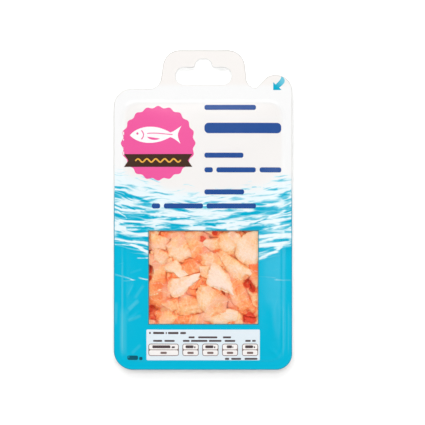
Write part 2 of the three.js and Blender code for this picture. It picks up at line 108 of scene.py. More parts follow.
class Paint:  # one material and its nodes
    def __init__(self, name, owner=None):
        self.material = owner or bpy.data.materials.new(name)
        self.material.use_nodes = True
        self.tree = self.material.node_tree
        self.tree.nodes.clear()

    def node(self, kind, settings=None, inputs=None, output=0):
        made = self.tree.nodes.new(kind)
        for name, value in (settings or {}).items():
            if name == "stops":
                self.setStops(made.color_ramp.elements, value)
            else:
                setattr(made, name, value)
        for name, value in (inputs or {}).items():
            if isinstance(value, Wire):
                self.tree.links.new(value.socket, made.inputs[name])
            else:
                made.inputs[name].default_value = value
        return Wire(self, made.outputs[output]) if made.outputs else made

    def setStops(self, elements, stops):
        while len(elements) < len(stops):
            elements.new(1)
        for element, (position, colour) in zip(elements, stops):
            element.position = position
            element.color = colour

    # the spot on the object, in millimetres
    def place(self):
        spot = self.node("ShaderNodeTexCoord", output="Object")
        return self.node("ShaderNodeVectorMath", {"operation": "SCALE"}, {0: spot, "Scale": 1 / mm})

    def parts(self, vector):
        return [self.node("ShaderNodeSeparateXYZ", None, {0: vector}, axis) for axis in "XYZ"]

    def joined(self, x, y, z=0.0):
        return self.node("ShaderNodeCombineXYZ", None, {"X": x, "Y": y, "Z": z})

    def noise(self, vector, scale=1.0, detail=2.0, roughness=0.5):
        inputs = {"Vector": vector, "Scale": scale, "Detail": detail, "Roughness": roughness}
        return self.node("ShaderNodeTexNoise", None, inputs, "Fac")

    def ramp(self, value, stops):
        return self.node("ShaderNodeValToRGB", {"stops": stops}, {"Fac": value}, "Color")

    def size(self, value):  # without its sign
        return self.reckon("ABSOLUTE", value)

    def reckon(self, operation, *values):
        return self.node("ShaderNodeMath", {"operation": operation}, dict(enumerate(values)))

    def step(self, value, low, high):  # goes softly from 0 at low to 1 at high
        settings = {"interpolation_type": "SMOOTHSTEP"}
        return self.node("ShaderNodeMapRange", settings, {"Value": value, "From Min": low, "From Max": high})

    def blend(self, share, first, second):
        inputs = {0: share, 6: first, 7: second}
        return self.node("ShaderNodeMix", {"data_type": "RGBA"}, inputs, 2)

    def upward(self):  # 1 on what faces straight up, -1 on what faces down
        normal = self.node("ShaderNodeTexCoord", output="Normal")
        return self.node("ShaderNodeSeparateXYZ", None, {0: normal}, "Z")

    def attribute(self, name, output="Fac"):
        return self.node("ShaderNodeAttribute", {"attribute_name": name}, None, output)

    def bump(self, height, distance, strength=1.0):
        inputs = {"Height": height, "Distance": distance * mm, "Strength": strength}
        return self.node("ShaderNodeBump", None, inputs, "Normal")

    def surface(self, shader):
        self.node("ShaderNodeOutputMaterial", None, {"Surface": shader})
        return self.material

    def finish(self, **inputs):  # an ordinary surface
        named = {name.replace("_", " "): value for name, value in inputs.items()}
        return self.surface(self.node("ShaderNodeBsdfPrincipled", None, named))


# Outlines, as arrays of points in millimetres

arcStep = math.radians(7)


def unit(vector):
    return vector / np.hypot(*vector)


# an outline through corners (x, y, radius), each rounded by an arc, whichever way it turns
def roundedPath(corners):
    points = []
    for i, (x, y, radius) in enumerate(corners):
        corner = np.array((x, y), float)
        before = unit(np.array(corners[i - 1][:2]) - corner)
        after = unit(np.array(corners[(i + 1) % len(corners)][:2]) - corner)
        halfAngle = math.acos(np.clip(before @ after, -1, 1)) / 2
        start = corner + before * radius / math.tan(halfAngle)
        centre = corner + unit(before + after) * radius / math.sin(halfAngle)
        turnsLeft = before[0] * after[1] - before[1] * after[0] < 0
        sweep = (math.pi - 2 * halfAngle) * (1 if turnsLeft else -1)
        first = math.atan2(*(start - centre)[::-1])
        steps = max(2, round(abs(sweep) / arcStep))
        for step in range(steps + 1):
            angle = first + sweep * step / steps
            points.append(centre + radius * np.array((math.cos(angle), math.sin(angle))))
    return np.array(points)


def roundedBox(x, y, halfX, halfY, radius):
    sides = ((-1, -1), (1, -1), (1, 1), (-1, 1))
    return roundedPath([(x + halfX * sx, y + halfY * sy, radius) for sx, sy in sides])


def circle(x, y, radius, steps=24):
    angles = np.linspace(0, 2 * math.pi, steps, endpoint=False)
    return np.stack((x + radius * np.cos(angles), y + radius * np.sin(angles)), axis=1)


# points of a cubic curve, without its first
def bezier(start, first, second, end, steps=12):
    t = np.linspace(0, 1, steps + 1)[1:, None]
    start, first, second, end = (np.array(p, float) for p in (start, first, second, end))
    return (1 - t) ** 3 * start + 3 * (1 - t) ** 2 * t * first + 3 * (1 - t) * t**2 * second + t**3 * end


trayLow, trayHigh = cornersOf("tray")
pack = {
    "halfWidth": trayHigh[0],
    "halfLength": trayHigh[1],
    "flangeTop": trayHigh[2],
    "footLeft": 13,
    "footRight": 10.9,
    "shoulderCorner": 12,
    "shoulderY": 81.5,
}
hangTab = {"x": 0.35, "leftX": -25.6, "rightX": 27.3, "corner": 11.8, "baseX": -29.2, "fillet": 8}
peelTab = {"topY": 90.8, "corner": 10.8, "innerX": 44.2, "innerCorner": 9}
notch = {"x": 35, "y": 81.3, "corner": 2.6, "sideX": 29.4, "sideY": 85.3, "sideCorner": 6}
hangHole = {
    "halfWidth": 18.65,
    "lowY": 84.5,
    "highY": 95.8,
    "bumpTopY": 101.3,
    "bumpBase": 5.8,
    "bumpTop": 4.8,
}
cavity = {"halfX": 54, "halfY": 87, "y": -14, "corner": 10}
windowPane = {"x": 0.33, "y": -45.25, "halfX": 36.55, "halfY": 31.15, "corner": 0.5}


# the outline moved to the left of the way it runs, which is inwards on an outline that turns left
def moved(loop, distance):
    along = np.roll(loop, -1, axis=0) - np.roll(loop, 1, axis=0)
    along /= np.hypot(*along.T)[:, None]
    return loop + distance * np.stack((-along[:, 1], along[:, 0]), axis=1)


def packOutline():
    halfWidth, halfLength, tab = pack["halfWidth"], pack["halfLength"], hangTab
    return roundedPath([
        (-halfWidth, -halfLength, pack["footLeft"]),
        (halfWidth, -halfLength, pack["footRight"]),
        (halfWidth, peelTab["topY"], peelTab["corner"]),
        (peelTab["innerX"], peelTab["topY"], peelTab["innerCorner"]),
        (notch["x"], notch["y"], notch["corner"]),
        (notch["sideX"], notch["sideY"], notch["sideCorner"]),
        (tab["rightX"], halfLength, tab["corner"]),
        (tab["leftX"], halfLength, tab["corner"]),
        (tab["baseX"], pack["shoulderY"], tab["fillet"]),
        (-halfWidth, pack["shoulderY"], pack["shoulderCorner"]),
    ])


def hangHoleOutline():
    hole, x = hangHole, hangTab["x"]
    endRadius = (hole["highY"] - hole["lowY"]) / 2 - 0.1
    neck, crown = 1.8, 4.2
    return roundedPath([
        (x - hole["halfWidth"], hole["lowY"], endRadius),
        (x + hole["halfWidth"], hole["lowY"], endRadius),
        (x + hole["halfWidth"], hole["highY"], endRadius),
        (x + hole["bumpBase"], hole["highY"], neck),
        (x + hole["bumpTop"], hole["bumpTopY"], crown),
        (x - hole["bumpTop"], hole["bumpTopY"], crown),
        (x - hole["bumpBase"], hole["highY"], neck),
        (x - hole["halfWidth"], hole["highY"], endRadius),
    ])


# Mesh making

def insideLoops(x, y, loops):  # even and odd crossings, so a loop in a loop is a hole
    inside = np.zeros(len(x), bool)
    for loop in loops:
        for (ax, ay), (bx, by) in zip(loop, np.roll(loop, -1, axis=0)):
            if ay == by:
                continue
            crosses = (ay > y) != (by > y)
            inside ^= crosses & (x < (bx - ax) * (y - ay) / (by - ay) + ax)
    return inside


def distanceToLoops(x, y, loops):
    nearest = np.full(len(x), np.inf)
    for loop in loops:
        for start, end in zip(loop, np.roll(loop, -1, axis=0)):
            side = end - start
            share = ((x - start[0]) * side[0] + (y - start[1]) * side[1]) / max(side @ side, 1e-12)
            share = np.clip(share, 0, 1)
            gap = np.hypot(x - start[0] - share * side[0], y - start[1] - share * side[1])
            nearest = np.minimum(nearest, gap)
    return nearest


# long straight edges get points too, so that they can follow a curved surface
def divided(loop, cell):
    points = []
    for start, end in zip(loop, np.roll(loop, -1, axis=0)):
        steps = max(1, round(np.hypot(*(end - start)) / cell))
        points += [start + (end - start) * step / steps for step in range(steps)]
    return np.array(points)


# flat triangles inside the loops, with a point in every cell
def triangulate(loops, cell):
    loops = [divided(loop, cell) for loop in loops]
    everything = np.concatenate(loops)
    low, high = everything.min(0), everything.max(0)
    xs, ys = (np.arange(low[axis] + cell / 2, high[axis], cell) for axis in (0, 1))
    gridX, gridY = (values.ravel() for values in np.meshgrid(xs, ys))
    fits = insideLoops(gridX, gridY, loops)
    gridX, gridY = gridX[fits], gridY[fits]
    clear = distanceToLoops(gridX, gridY, loops) > cell * 0.45
    points = np.concatenate((everything, np.stack((gridX[clear], gridY[clear]), axis=1)))
    edges, first = [], 0
    for loop in loops:
        edges += [(first + i, first + (i + 1) % len(loop)) for i in range(len(loop))]
        first += len(loop)
    made = delaunay_2d_cdt([tuple(p) for p in points], edges, [], 0, 1e-6)
    points, faces = np.array([tuple(p) for p in made[0]]), np.array(made[2])
    middle = points[faces].mean(1)
    faces = faces[insideLoops(middle[:, 0], middle[:, 1], loops)]
    a, b, c = (points[faces[:, i]] for i in range(3))
    turned = (b - a)[:, 0] * (c - a)[:, 1] - (b - a)[:, 1] * (c - a)[:, 0] < 0
    faces[turned] = faces[turned][:, ::-1]
    return points, faces


def rimEdges(faces):  # directed edges that only one face has
    edges = np.concatenate([faces[:, [i, (i + 1) % 3]] for i in range(3)])
    keys = edges[:, 0].astype(np.int64) * 10**7 + edges[:, 1]
    back = edges[:, 1].astype(np.int64) * 10**7 + edges[:, 0]
    return edges[~np.isin(keys, back)]


def makeMesh(name, points, faces, material, sharpAngle=40):
    mesh = bpy.data.meshes.new(name)
    mesh.from_pydata((np.asarray(points) * mm).tolist(), [], [list(map(int, face)) for face in faces])
    mesh.validate()
    mesh.shade_smooth()
    mesh.set_sharp_from_angle(angle=math.radians(sharpAngle))
    mesh.materials.append(material)
    piece = bpy.data.objects.new(name, mesh)
    bpy.context.scene.collection.objects.link(piece)
    return piece


# a closed sheet between two surfaces, given by functions of x and y
def sheetParts(loops, top, bottom, cell):
    flat, faces = triangulate(loops, cell)
    x, y = flat.T
    points = np.concatenate((np.column_stack((flat, top(x, y))), np.column_stack((flat, bottom(x, y)))))
    count = len(flat)
    rim = rimEdges(faces)
    walls = np.concatenate((
        np.column_stack((rim[:, 1], rim[:, 0], rim[:, 0] + count)),
        np.column_stack((rim[:, 1], rim[:, 0] + count, rim[:, 1] + count)),
    ))
    return points, np.concatenate((faces, faces[:, ::-1] + count, walls)), len(faces)


def makeSheet(name, loops, top, bottom, material, cell):
    points, faces, _ = sheetParts(loops, top, bottom, cell)
    return makeMesh(name, points, faces, material)


# several closed sheets joined in one piece
def makeSheets(name, shapes, top, bottom, material, cell):
    allPoints, allFaces, first = [], [], 0
    for loops in shapes:
        points, faces, _ = sheetParts(loops, top, bottom, cell)
        allPoints.append(points)
        allFaces.append(faces + first)
        first += len(points)
    return makeMesh(name, np.concatenate(allPoints), np.concatenate(allFaces), material)


def addAttribute(piece, name, values, kind="FLOAT"):
    key = "value" if kind == "FLOAT" else "vector"
    attribute = piece.data.attributes.new(name, kind, "POINT")
    attribute.data.foreach_set(key, np.ascontiguousarray(values, dtype=np.float32).ravel())


def keep(piece, slot, *nodes):  # rides on the pack and stands for the nodes
    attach(piece, "root")
    if nodes:
        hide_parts(*nodes)
    return piece


# The film's form: flat on the flange, crowned over the flakes, with a bead at the tray's edge

film = {
    "gloss": 0.22,
    "lift": 0.5,  # of its upper side over the flange
    "thickness": 0.4,
    "crown": 2.4,
    "acrossPower": 4,
    "alongPower": 8,
    "beadHeight": 0.3,
    "beadWidth": 0.9,
    "swell": 0.07,
    "cell": 0.85,
    "trim": 0.25,
}

# creases that run from one spot to another: width and height of each
creases = [
    {"start": (-51.2, -70.9), "end": (-41.9, -59.6), "width": 1.2, "height": 0.46},
    {"start": (-51.4, -75.6), "end": (-41.2, -68.3), "width": 1.1, "height": 0.46},
    {"start": (-50.8, -58.5), "end": (-45.4, -47.8), "width": 1.2, "height": 0.3},
    {"start": (-53.3, -66.5), "end": (-53.3, -99), "width": 1.7, "height": 0.34},
    {"start": (-57.6, -60), "end": (-56.2, -84), "width": 1.3, "height": 0.12},
    {"start": (47.6, -60), "end": (47.6, -88), "width": 3.4, "height": 0.36},
    {"start": (57.4, -60), "end": (57.4, -98), "width": 0.9, "height": 0.14},
    {"start": (54.2, -66), "end": (54.2, -97), "width": 1.1, "height": 0.16},
    {"start": (44.4, -92.5), "end": (52, -100), "width": 1.6, "height": 0.14},
    {"start": (-38, -103), "end": (-49, -94), "width": 1.8, "height": 0.1},
]


def insideCavity(x, y):  # how far inside the tray's mouth, negative outside
    alongX = np.abs(x) - (cavity["halfX"] - cavity["corner"])
    alongY = np.abs(y - cavity["y"]) - (cavity["halfY"] - cavity["corner"])
    outside = np.hypot(np.maximum(alongX, 0), np.maximum(alongY, 0))
    return cavity["corner"] - outside - np.minimum(np.maximum(alongX, alongY), 0)


def filmRise(x, y):
    u = np.minimum(1, np.abs(x) / cavity["halfX"])
    v = np.minimum(1, np.abs(y - cavity["y"]) / cavity["halfY"])
    return film["crown"] * (1 - u ** film["acrossPower"]) * (1 - v ** film["alongPower"])


def creaseHeight(x, y, crease):
    start, end = np.array(crease["start"], float), np.array(crease["end"], float)
    length = np.hypot(*(end - start))
    along = (end - start) / length
    share = ((x - start[0]) * along[0] + (y - start[1]) * along[1]) / length
    across = (y - start[1]) * along[0] - (x - start[0]) * along[1]
    taper = np.sin(math.pi * np.clip(share, 0, 1)) ** 0.7
    return crease["height"] * taper * np.exp(-((across / crease["width"]) ** 2))


def filmTop(x, y):
    x, y = np.asarray(x, float), np.asarray(y, float)
    inside = insideCavity(x, y)
    height = pack["flangeTop"] + film["lift"] + filmRise(x, y)
    height = height + film["beadHeight"] * np.exp(-(((inside - 0.4) / film["beadWidth"]) ** 2))
    slack = np.clip(inside / 12, 0, 1)
    waves = np.sin(x / 6.1 + 1.3 * np.sin(y / 11)) + np.sin(y / 7.3 + 0.9 * np.sin(x / 8.5) + 2)
    height = height + film["swell"] * slack * waves
    for crease in creases:
        height = height + creaseHeight(x, y, crease)
    return height


def above(lift):
    return lambda x, y: filmTop(x, y) + lift


# The print's grounds: white round the hang tab, giving way to a rippled sea

sea = {
    "body": ink(8, 187, 221),
    "dark": ink(2, 160, 196),
    "mid": ink(84, 196, 222),
    "pale": ink(166, 223, 237),
    "foam": ink(220, 244, 250),
    "white": ink(238, 250, 254),
    "bare": ink(70, 128, 136),  # a darker, greyer blue in a narrow band round the window's edge
    "fringeWidth": 1.05,
    "bareShare": 0.8,
    "sheen": ink(74, 198, 224),
    "bow": 0.0038,  # the water sags in the middle
    "tilt": 0.04,  # and reaches lower on the right
    "rippleBow": 0.0018,
    "horizon": 130,  # where the ripples would close up, over the middle of the pack
    "length": 20,  # of a ripple near the middle
    "height": 2.4,
    # how fine the slow drift, the chop and the threads of foam run across and down
    "drift": (0.6, 0.12),
    "chop": (1.2, 0.5),
    "threads": 1.1,
    # how far drift and chop push the ripples, and both the crests, in millimetres
    "driftPush": 6,
    "chopPush": 2,
    "cellPush": 0.9,
    "crestPush": 3,
    "crestRise": 0.42,
    "crestHalfThick": 1.3,
    "crestEdge": (1.15, 0.25),  # in half thicknesses, from clear water to full strength
    # over what stretch the ripples set in above the calm end and die out below the shore
    "setIn": (14, 26),
    "dieOut": (12, 28),
    "calm": (16, 32),
}
# how white the water is, from calm water at the low end to the shore at the high one
seaLow, seaHigh = -60, 40
whiteness = [
    (-60, 0.0), (-44, 0.0), (-39, 0.1), (-35, 0.34), (-30, 0.54), (-22, 0.53), (-15, 0.51), (-8, 0.53),
    (0, 0.59), (6, 0.67), (12, 0.82), (18, 0.95), (24, 1.0), (40, 1.0),
]
paper = {"flange": ink(248, 248, 248), "tab": ink(247, 243, 240), "slack": ink(245, 242, 240)}

# the broad crests: middle and length come from the solids that they stand for, thickness and slope are listed
streakNodes = sorted(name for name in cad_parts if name.startswith("print_foam_streak"))
streakSlopes = [-0.1, 0.12, 0.03, 0.08, -0.16, 0.3]
# further crests, and dark swells of negative strength: middle, half length, half thickness,
# slope and strength of each
moreCrests = [
    (-54, 20, 12, 3.0, -0.08, 0.4),
    (-56, 10.3, 10, 3.2, -0.14, -0.5),
    (-44, 7.2, 10, 1.5, -0.33, -0.6),
    (-56.5, 13.3, 6, 0.6, -0.05, 0.7),
    (-50, 4.3, 12, 1.2, -0.05, 0.4),
    (-57.5, 2.2, 3.6, 0.9, -0.5, -0.6),
    (-50, 1.5, 5.6, 0.8, -0.34, -0.6),
    (-46, -0.6, 12, 1.1, -0.02, 0.45),
    (-48, -4.6, 14, 2.9, 0.0, -0.45),
    (-54.5, -3.6, 4, 0.6, -0.7, 0.5),
    (-48, -7.8, 13, 0.9, 0.0, 0.45),
    (-49.5, -9.4, 8.5, 0.7, 0.05, -0.5),
    (-56, -12.6, 5, 2.0, 0.0, 0.5),
    (-44.5, -12.3, 8.5, 0.9, 0.03, -0.65),
    (-42, -14.9, 7, 0.7, 0.1, -0.4),
    (-45, -16.4, 13, 0.8, -0.1, 0.5),
    (-46, -18.8, 15, 1.8, -0.1, -0.75),
    (-53.5, -20.9, 9, 0.8, -0.08, 0.6),
    (-41.4, -21.9, 7, 0.8, -0.22, 0.7),
    (-53, -23.6, 9, 0.7, -0.04, 0.55),
    (-40, -24.2, 4.5, 1.1, -0.2, -0.6),
    (-42, -26, 7, 1.1, -0.42, 0.85),
    (-40, -32.2, 5.5, 0.9, 0.0, 0.75),
    (-55.5, -35.6, 3.5, 0.6, 0.25, 0.35),
    (-53.3, -45.2, 8, 0.9, -0.32, 0.6),
    (-49.5, -47.6, 6, 0.6, 0.07, 0.5),
    (-39.6, -46.2, 5, 0.9, -0.16, 0.7),
    (-36, -4.6, 4, 1.0, 0.0, -0.45),
    (-22.7, -4.6, 6.5, 0.7, -0.05, -0.45),
    (-12, -4.9, 4.5, 0.6, 0.03, -0.35),
    (26.3, -3.2, 12, 1.1, 0.12, -0.55),
    (9.5, -6.2, 6, 0.6, 0.03, -0.3),
    (-8, -7.4, 30, 0.9, 0.0, 0.3),
    (-29, -10, 3.6, 0.7, 0.0, -0.45),
    (-15, -9.9, 7.5, 0.7, -0.02, -0.45),
    (-3.8, -9.9, 3.6, 0.7, 0.0, -0.45),
    (5, -9.7, 4.2, 0.9, -0.25, -0.45),
    (12.5, -8.9, 4.6, 0.7, -0.08, -0.35),
    (24, -8.4, 6, 1.2, 0.1, 0.3),
    (35, -8.7, 5, 0.8, 0.15, -0.4),
    (-36, -11.9, 4, 0.9, -0.2, -0.45),
    (-22, -13.2, 10, 1.4, 0.0, -0.5),
    (-4, -12.6, 6.5, 1.5, 0.0, 0.5),
    (12.5, -13.3, 4.5, 1.0, 0.0, -0.35),
    (19.5, -12.6, 4.5, 1.6, 0.0, 0.4),
    (31, -12.9, 9, 1.8, 0.08, -0.55),
    (36, 15.6, 4, 0.8, 0.0, -0.45),
    (45, 14.3, 6, 1.3, -0.05, -0.38),
    (56, 10.4, 6, 0.7, -0.05, -0.25),
    (57.5, 7.0, 5, 1.1, -0.08, -0.25),
    (45.7, 5.8, 7.5, 1.7, 0.04, -0.42),
    (46, 3.6, 9, 0.5, -0.05, 0.5),
    (43, -0.6, 10.5, 3.6, 0.0, -0.52),
    (57, 0.4, 6.5, 1.7, 0.2, -0.45),
    (50, -3.2, 7, 0.9, 0.3, 0.45),
    (38.7, -7.5, 5, 0.8, 0.4, -0.4),
    (47, -7.6, 8, 1.0, 0.25, 0.35),
    (57, -8.6, 6.5, 1.9, 0.22, -0.5),
    (49, -11.6, 10, 0.7, 0.15, 0.35),
    (39.5, -13.2, 8.5, 2.2, 0.05, -0.42),
    (58, -14.8, 4, 1.2, 0.0, -0.4),
    (48, -17.6, 14, 1.5, 0.05, 0.45),
    (52.5, -20.5, 6, 0.9, 0.05, -0.5),
    (48, -23, 12, 1.3, 0.08, 0.5),
    (42.5, -26.4, 7.5, 1.6, 0.14, -0.45),
    (50.5, -25.4, 3.8, 2.2, 0.25, 0.4),
    (44.4, -29.8, 9.2, 1.5, 0.42, 0.75),
    (58, -28, 7, 3.4, 0.0, -0.8),
    (43, -45.2, 8, 0.6, -0.08, 0.45),
    (54, -47.4, 8, 0.8, -0.1, 0.65),
    (50, -40, 5, 0.5, 0.28, 0.28),
]


def broadCrests():
    crests = []
    for node, slope in zip(streakNodes, streakSlopes):
        middle, half = middleAndHalf(node)
        crests.append((middle[0], middle[1], half[0], sea["crestHalfThick"], slope, sea["crestRise"]))
    return crests


def crest(paint, x, y, form):
    middleX, middleY, halfLength, halfThick, slope, strength = form
    run = (x - middleX) / halfLength
    drop = (y - middleY) - (x - middleX) * slope
    taper = paint.step(1 - run * run, 0.0, 0.7)
    body = paint.step(paint.size(drop), *(halfThick * share for share in sea["crestEdge"]))
    return taper * body * strength


# painted highlights, lighter print where the drawn film catches the light: start, end, half width and
# strength of each streak
sheenStreaks = [
    ((-54.2, -28), (-54.2, -102), 1.0, 0.5),
    ((-53.5, -64), (-53.5, -99), 3.3, 0.5),
    ((-58.3, -61), (-59.0, -78), 1.8, 0.45),
    ((-50.6, -67.4), (-42.6, -60.4), 1.9, 0.6),
    ((-50.8, -74.6), (-41.0, -70.6), 1.6, 0.5),
    ((-46.2, -60), (-39.4, -49.8), 1.6, 0.4),
    ((-50.5, -57.5), (-46.5, -49.5), 1.0, 0.3),
    ((-49.5, -42.5), (-40.5, -39.5), 1.2, 0.2),
    ((-48.4, -97), (-41.4, -90), 1.6, 0.35),
    ((53.9, -60), (53.9, -101), 0.8, 0.4),
    ((57.4, -60), (57.4, -99), 0.8, 0.35),
]


def streakShare(paint, x, y, streak):
    (startX, startY), (endX, endY), halfWidth, strength = streak
    length = math.hypot(endX - startX, endY - startY)
    alongX, alongY = (endX - startX) / length, (endY - startY) / length
    run = ((x - startX) * alongX + (y - startY) * alongY) / (length / 2) - 1
    away = paint.size((y - startY) * alongX - (x - startX) * alongY)
    return paint.step(1 - run * run, 0.0, 0.7) * paint.step(away, halfWidth, halfWidth * 0.2) * strength


def filmSurface(paint, spot, colour):  # a colour with the sheet's gloss and its soft unevenness
    waviness = paint.noise(spot, 0.16, 3.0, 0.55)
    fine = paint.noise(spot, 1.1, 2.0)
    return paint.finish(
        Base_Color=colour,
        Roughness=0.13 + waviness * 0.08 + fine * 0.04,
        Normal=paint.bump(waviness + fine * 0.05, 0.2, 0.4),
        Specular_IOR_Level=film["gloss"],
    )


def makeSeaPaint():
    paint = Paint("seaPrint")
    spot = paint.place()
    x, y, _ = paint.parts(spot)
    sag = y - x * x * sea["bow"] + x * sea["tilt"]
    # the ripples grow and spread towards the viewer, as on open water
    far = sea["horizon"] - y + x * x * sea["rippleBow"]
    middle = sea["horizon"] + 10
    across = x / far * (middle / sea["length"])
    down = paint.reckon("LOGARITHM", far, math.e) * (middle / sea["height"])
    (driftX, driftY), (chopX, chopY) = sea["drift"], sea["chop"]
    drift = paint.noise(paint.joined(across * driftX, down * driftY), 1.0, 2.0)
    chop = paint.noise(paint.joined(across * chopX, down * chopY, 3.0), 1.0, 3.0, 0.6)
    wavy = down + (drift - 0.5) * sea["driftPush"] + (chop - 0.5) * sea["chopPush"]
    cells = paint.joined(across + (chop - 0.5) * sea["cellPush"], wavy)
    settings = {"feature": "DISTANCE_TO_EDGE", "voronoi_dimensions": "2D"}
    troughs = paint.node("ShaderNodeTexVoronoi", settings, {"Vector": cells, "Scale": 0.8}, "Distance")
    threads = paint.joined(across * sea["threads"], wavy * sea["threads"], 7.0)
    threads = paint.noise(threads, 1.0, 4.0, 0.65)
    patches = paint.noise(paint.joined(x * 0.035, sag * 0.09, 5.0), 1.0, 2.0)
    share = (sag + (patches - 0.5) * 8 - seaLow) / (seaHigh - seaLow)
    stops = [((height - seaLow) / (seaHigh - seaLow), grey(white)) for height, white in whiteness]
    whiter = paint.ramp(share, stops)
    setIn, dieOut = [seaLow + up for up in sea["setIn"]], [seaHigh - down for down in sea["dieOut"]]
    strength = paint.step(sag, *setIn) * paint.step(sag, *dieOut)
    foam = whiter * 1.1 - 0.08 + ((0.2 - troughs) * 1.3 + (threads - 0.5) * 1.0) * strength
    wanderY = y + (chop - 0.5) * sea["crestPush"] + (drift - 0.5) * sea["crestPush"]
    swells = sum(crest(paint, x, wanderY, form) for form in broadCrests() + moreCrests)
    foam = foam + swells * (threads * 1.5 + 0.03)
    body = paint.blend(threads, sea["body"], sea["dark"])
    calm = paint.step(sag, *(seaLow + up for up in sea["calm"]))
    body = paint.blend(calm, sea["body"], body)
    colour = paint.ramp(foam, [
        (0.06, grey(0)),
        (0.34, grey(0.3)),
        (0.56, grey(0.68)),
        (0.78, grey(1)),
    ])
    shade = paint.ramp(colour, [
        (0.0, sea["body"]),
        (0.3, sea["mid"]),
        (0.6, sea["pale"]),
        (0.85, sea["foam"]),
        (1.0, sea["white"]),
    ])
    colour = paint.blend(paint.step(colour, 0.0, 0.3), body, shade)
    # painted highlights: along the streaks the print turns to the pale sheen colour
    streaks = sum(streakShare(paint, x, y, streak) for streak in sheenStreaks)
    colour = paint.blend(streaks * (1 - whiter), colour, sea["sheen"])
    edge = paint.reckon(
        "MAXIMUM",
        paint.size(x - windowPane["x"]) - windowPane["halfX"],
        paint.size(y - windowPane["y"]) - windowPane["halfY"],
    )
    # the colour turns a darker, greyer blue in a narrow band round the window's edge
    bare = paint.step(edge, sea["fringeWidth"], sea["fringeWidth"] * 0.3)
    colour = paint.blend(bare * sea["bareShare"], colour, sea["bare"])
    # the white is a little darker and warmer on the tab, painted shade, and a little darker and warmer where
    # the sheet lies over the tray
    white = paint.blend(paint.step(y, 82, 86), paper["flange"], paper["tab"])
    white = paint.blend(paint.attribute("slack"), white, paper["slack"])
    colour = paint.blend(paint.step(whiter, 0.66, 0.92) * paint.step(foam, 0.6, 0.8), colour, white)
    # the back of the print is plain white
    colour = paint.blend(paint.step(paint.upward(), 0.0, -0.5), colour, ink(250, 250, 250))
    return filmSurface(paint, spot, colour)


# where each face of a sheet lies in the baked picture: upper side, underside, and the walls in a strip
def addBakeMap(piece, topCount, topFaces):
    mesh = piece.data
    high = np.array([pack["halfWidth"], pack["halfLength"]])
    low = -high
    layer = mesh.uv_layers.new(name="OFBake")
    shareTop, shareUnder = 0.55, 0.4
    uvs = np.zeros((len(mesh.loops), 2))
    for polygon in mesh.polygons:
        for index in polygon.loop_indices:
            vertex = mesh.loops[index].vertex_index
            across, along = (np.array(mesh.vertices[vertex].co[:2]) / mm - low) / (high - low)
            if polygon.index < topFaces:
                uvs[index] = (across * shareTop, along)
            elif polygon.index < 2 * topFaces:
                uvs[index] = (shareTop + 0.01 + across * shareUnder, along * shareUnder / shareTop)
            else:
                side = 0.975 if vertex < topCount else 0.985
                uvs[index] = (side, 0.5 * (across + along))
    layer.data.foreach_set("uv", uvs.ravel())


def windowOutline(gap=0.0):
    pane = windowPane
    return roundedBox(pane["x"], pane["y"], pane["halfX"] - gap, pane["halfY"] - gap, pane["corner"])


def makePrintedFilm():
    loops = [moved(packOutline(), film["trim"]), moved(hangHoleOutline(), -film["trim"]), windowOutline()]
    points, faces, topFaces = sheetParts(loops, above(0), above(-film["thickness"]), film["cell"])
    piece = makeMesh("printedFilm", points, faces, makeSeaPaint())
    addBakeMap(piece, len(points) // 2, topFaces)
    addAttribute(piece, "slack", np.clip(insideCavity(points[:, 0], points[:, 1]) / 2.5, 0, 1))
    return keep(piece, "white_ink", "lid_film", "print_white_ground", "print_sea_ground", *streakNodes)


# the clear film in the window, a little under the print
clearFilm = {
    "gap": 0.02,  # to the print round it
    "under": 0.04,
    "cell": 1.2,
    "clear": (0.989, 0.988, 0.988, 1),  # what it lets through
    "index": 1.38,
    "shine": 0.8,  # share of a full reflection
    "roughness": 0.1,
}


def makePane():
    paint = Paint("clearFilm")
    spot = paint.place()
    waviness = paint.noise(spot, 0.12, 3.0, 0.5)
    normal = paint.bump(waviness, 0.2, 0.4)
    clear = paint.node("ShaderNodeBsdfTransparent", None, {"Color": clearFilm["clear"]})
    glossy = {"Roughness": clearFilm["roughness"], "Normal": normal}
    shine = paint.node("ShaderNodeBsdfGlossy", None, glossy)
    inside = paint.node("ShaderNodeNewGeometry", output="Backfacing")
    fresnel = paint.node("ShaderNodeFresnel", None, {"IOR": clearFilm["index"]})
    share = fresnel * (1 - inside) * clearFilm["shine"]
    shader = paint.node("ShaderNodeMixShader", None, {0: share, 1: clear, 2: shine})
    material = paint.surface(shader)
    edge, top, bottom = windowOutline(clearFilm["gap"]), above(-clearFilm["under"]), above(-film["thickness"])
    return keep(makeSheet("windowPane", [edge], top, bottom, material, clearFilm["cell"]), "clear_film")


# the cut edge, where film and tray are sealed: a narrow rounded rim, painted darker as painted shade along
# the edge
rim = {
    "profile": [  # how far in, and how high
        (0.03, 14.9), (0.03, 15.15), (0.1, 15.4), (0.27, 15.6), (0.5, 15.6), (0.62, 15.45), (0.62, 14.9),
    ],
    # where one colour gives way to the next, from its first to its last millimetre
    "shoreY": (22, 2),
    "shoreWander": 14,
    "tabY": (84, 88),
    "tabTopY": (104.5, 106.5),
    "holeX": (23, 21),
    "holeLowY": (83, 84),
    "holeHighY": (104, 103),
    # painted shade along the edge: darker on the tab and darker still at its top end, painted lighter round
    # the hang hole, and a darker blue in the sea
    "body": ink(236, 235, 232),
    "tab": ink(225, 223, 219),
    "tabTopShade": ink(206, 204, 199),
    "hole": ink(246, 246, 244),
    "sea": ink(14, 152, 184),
}


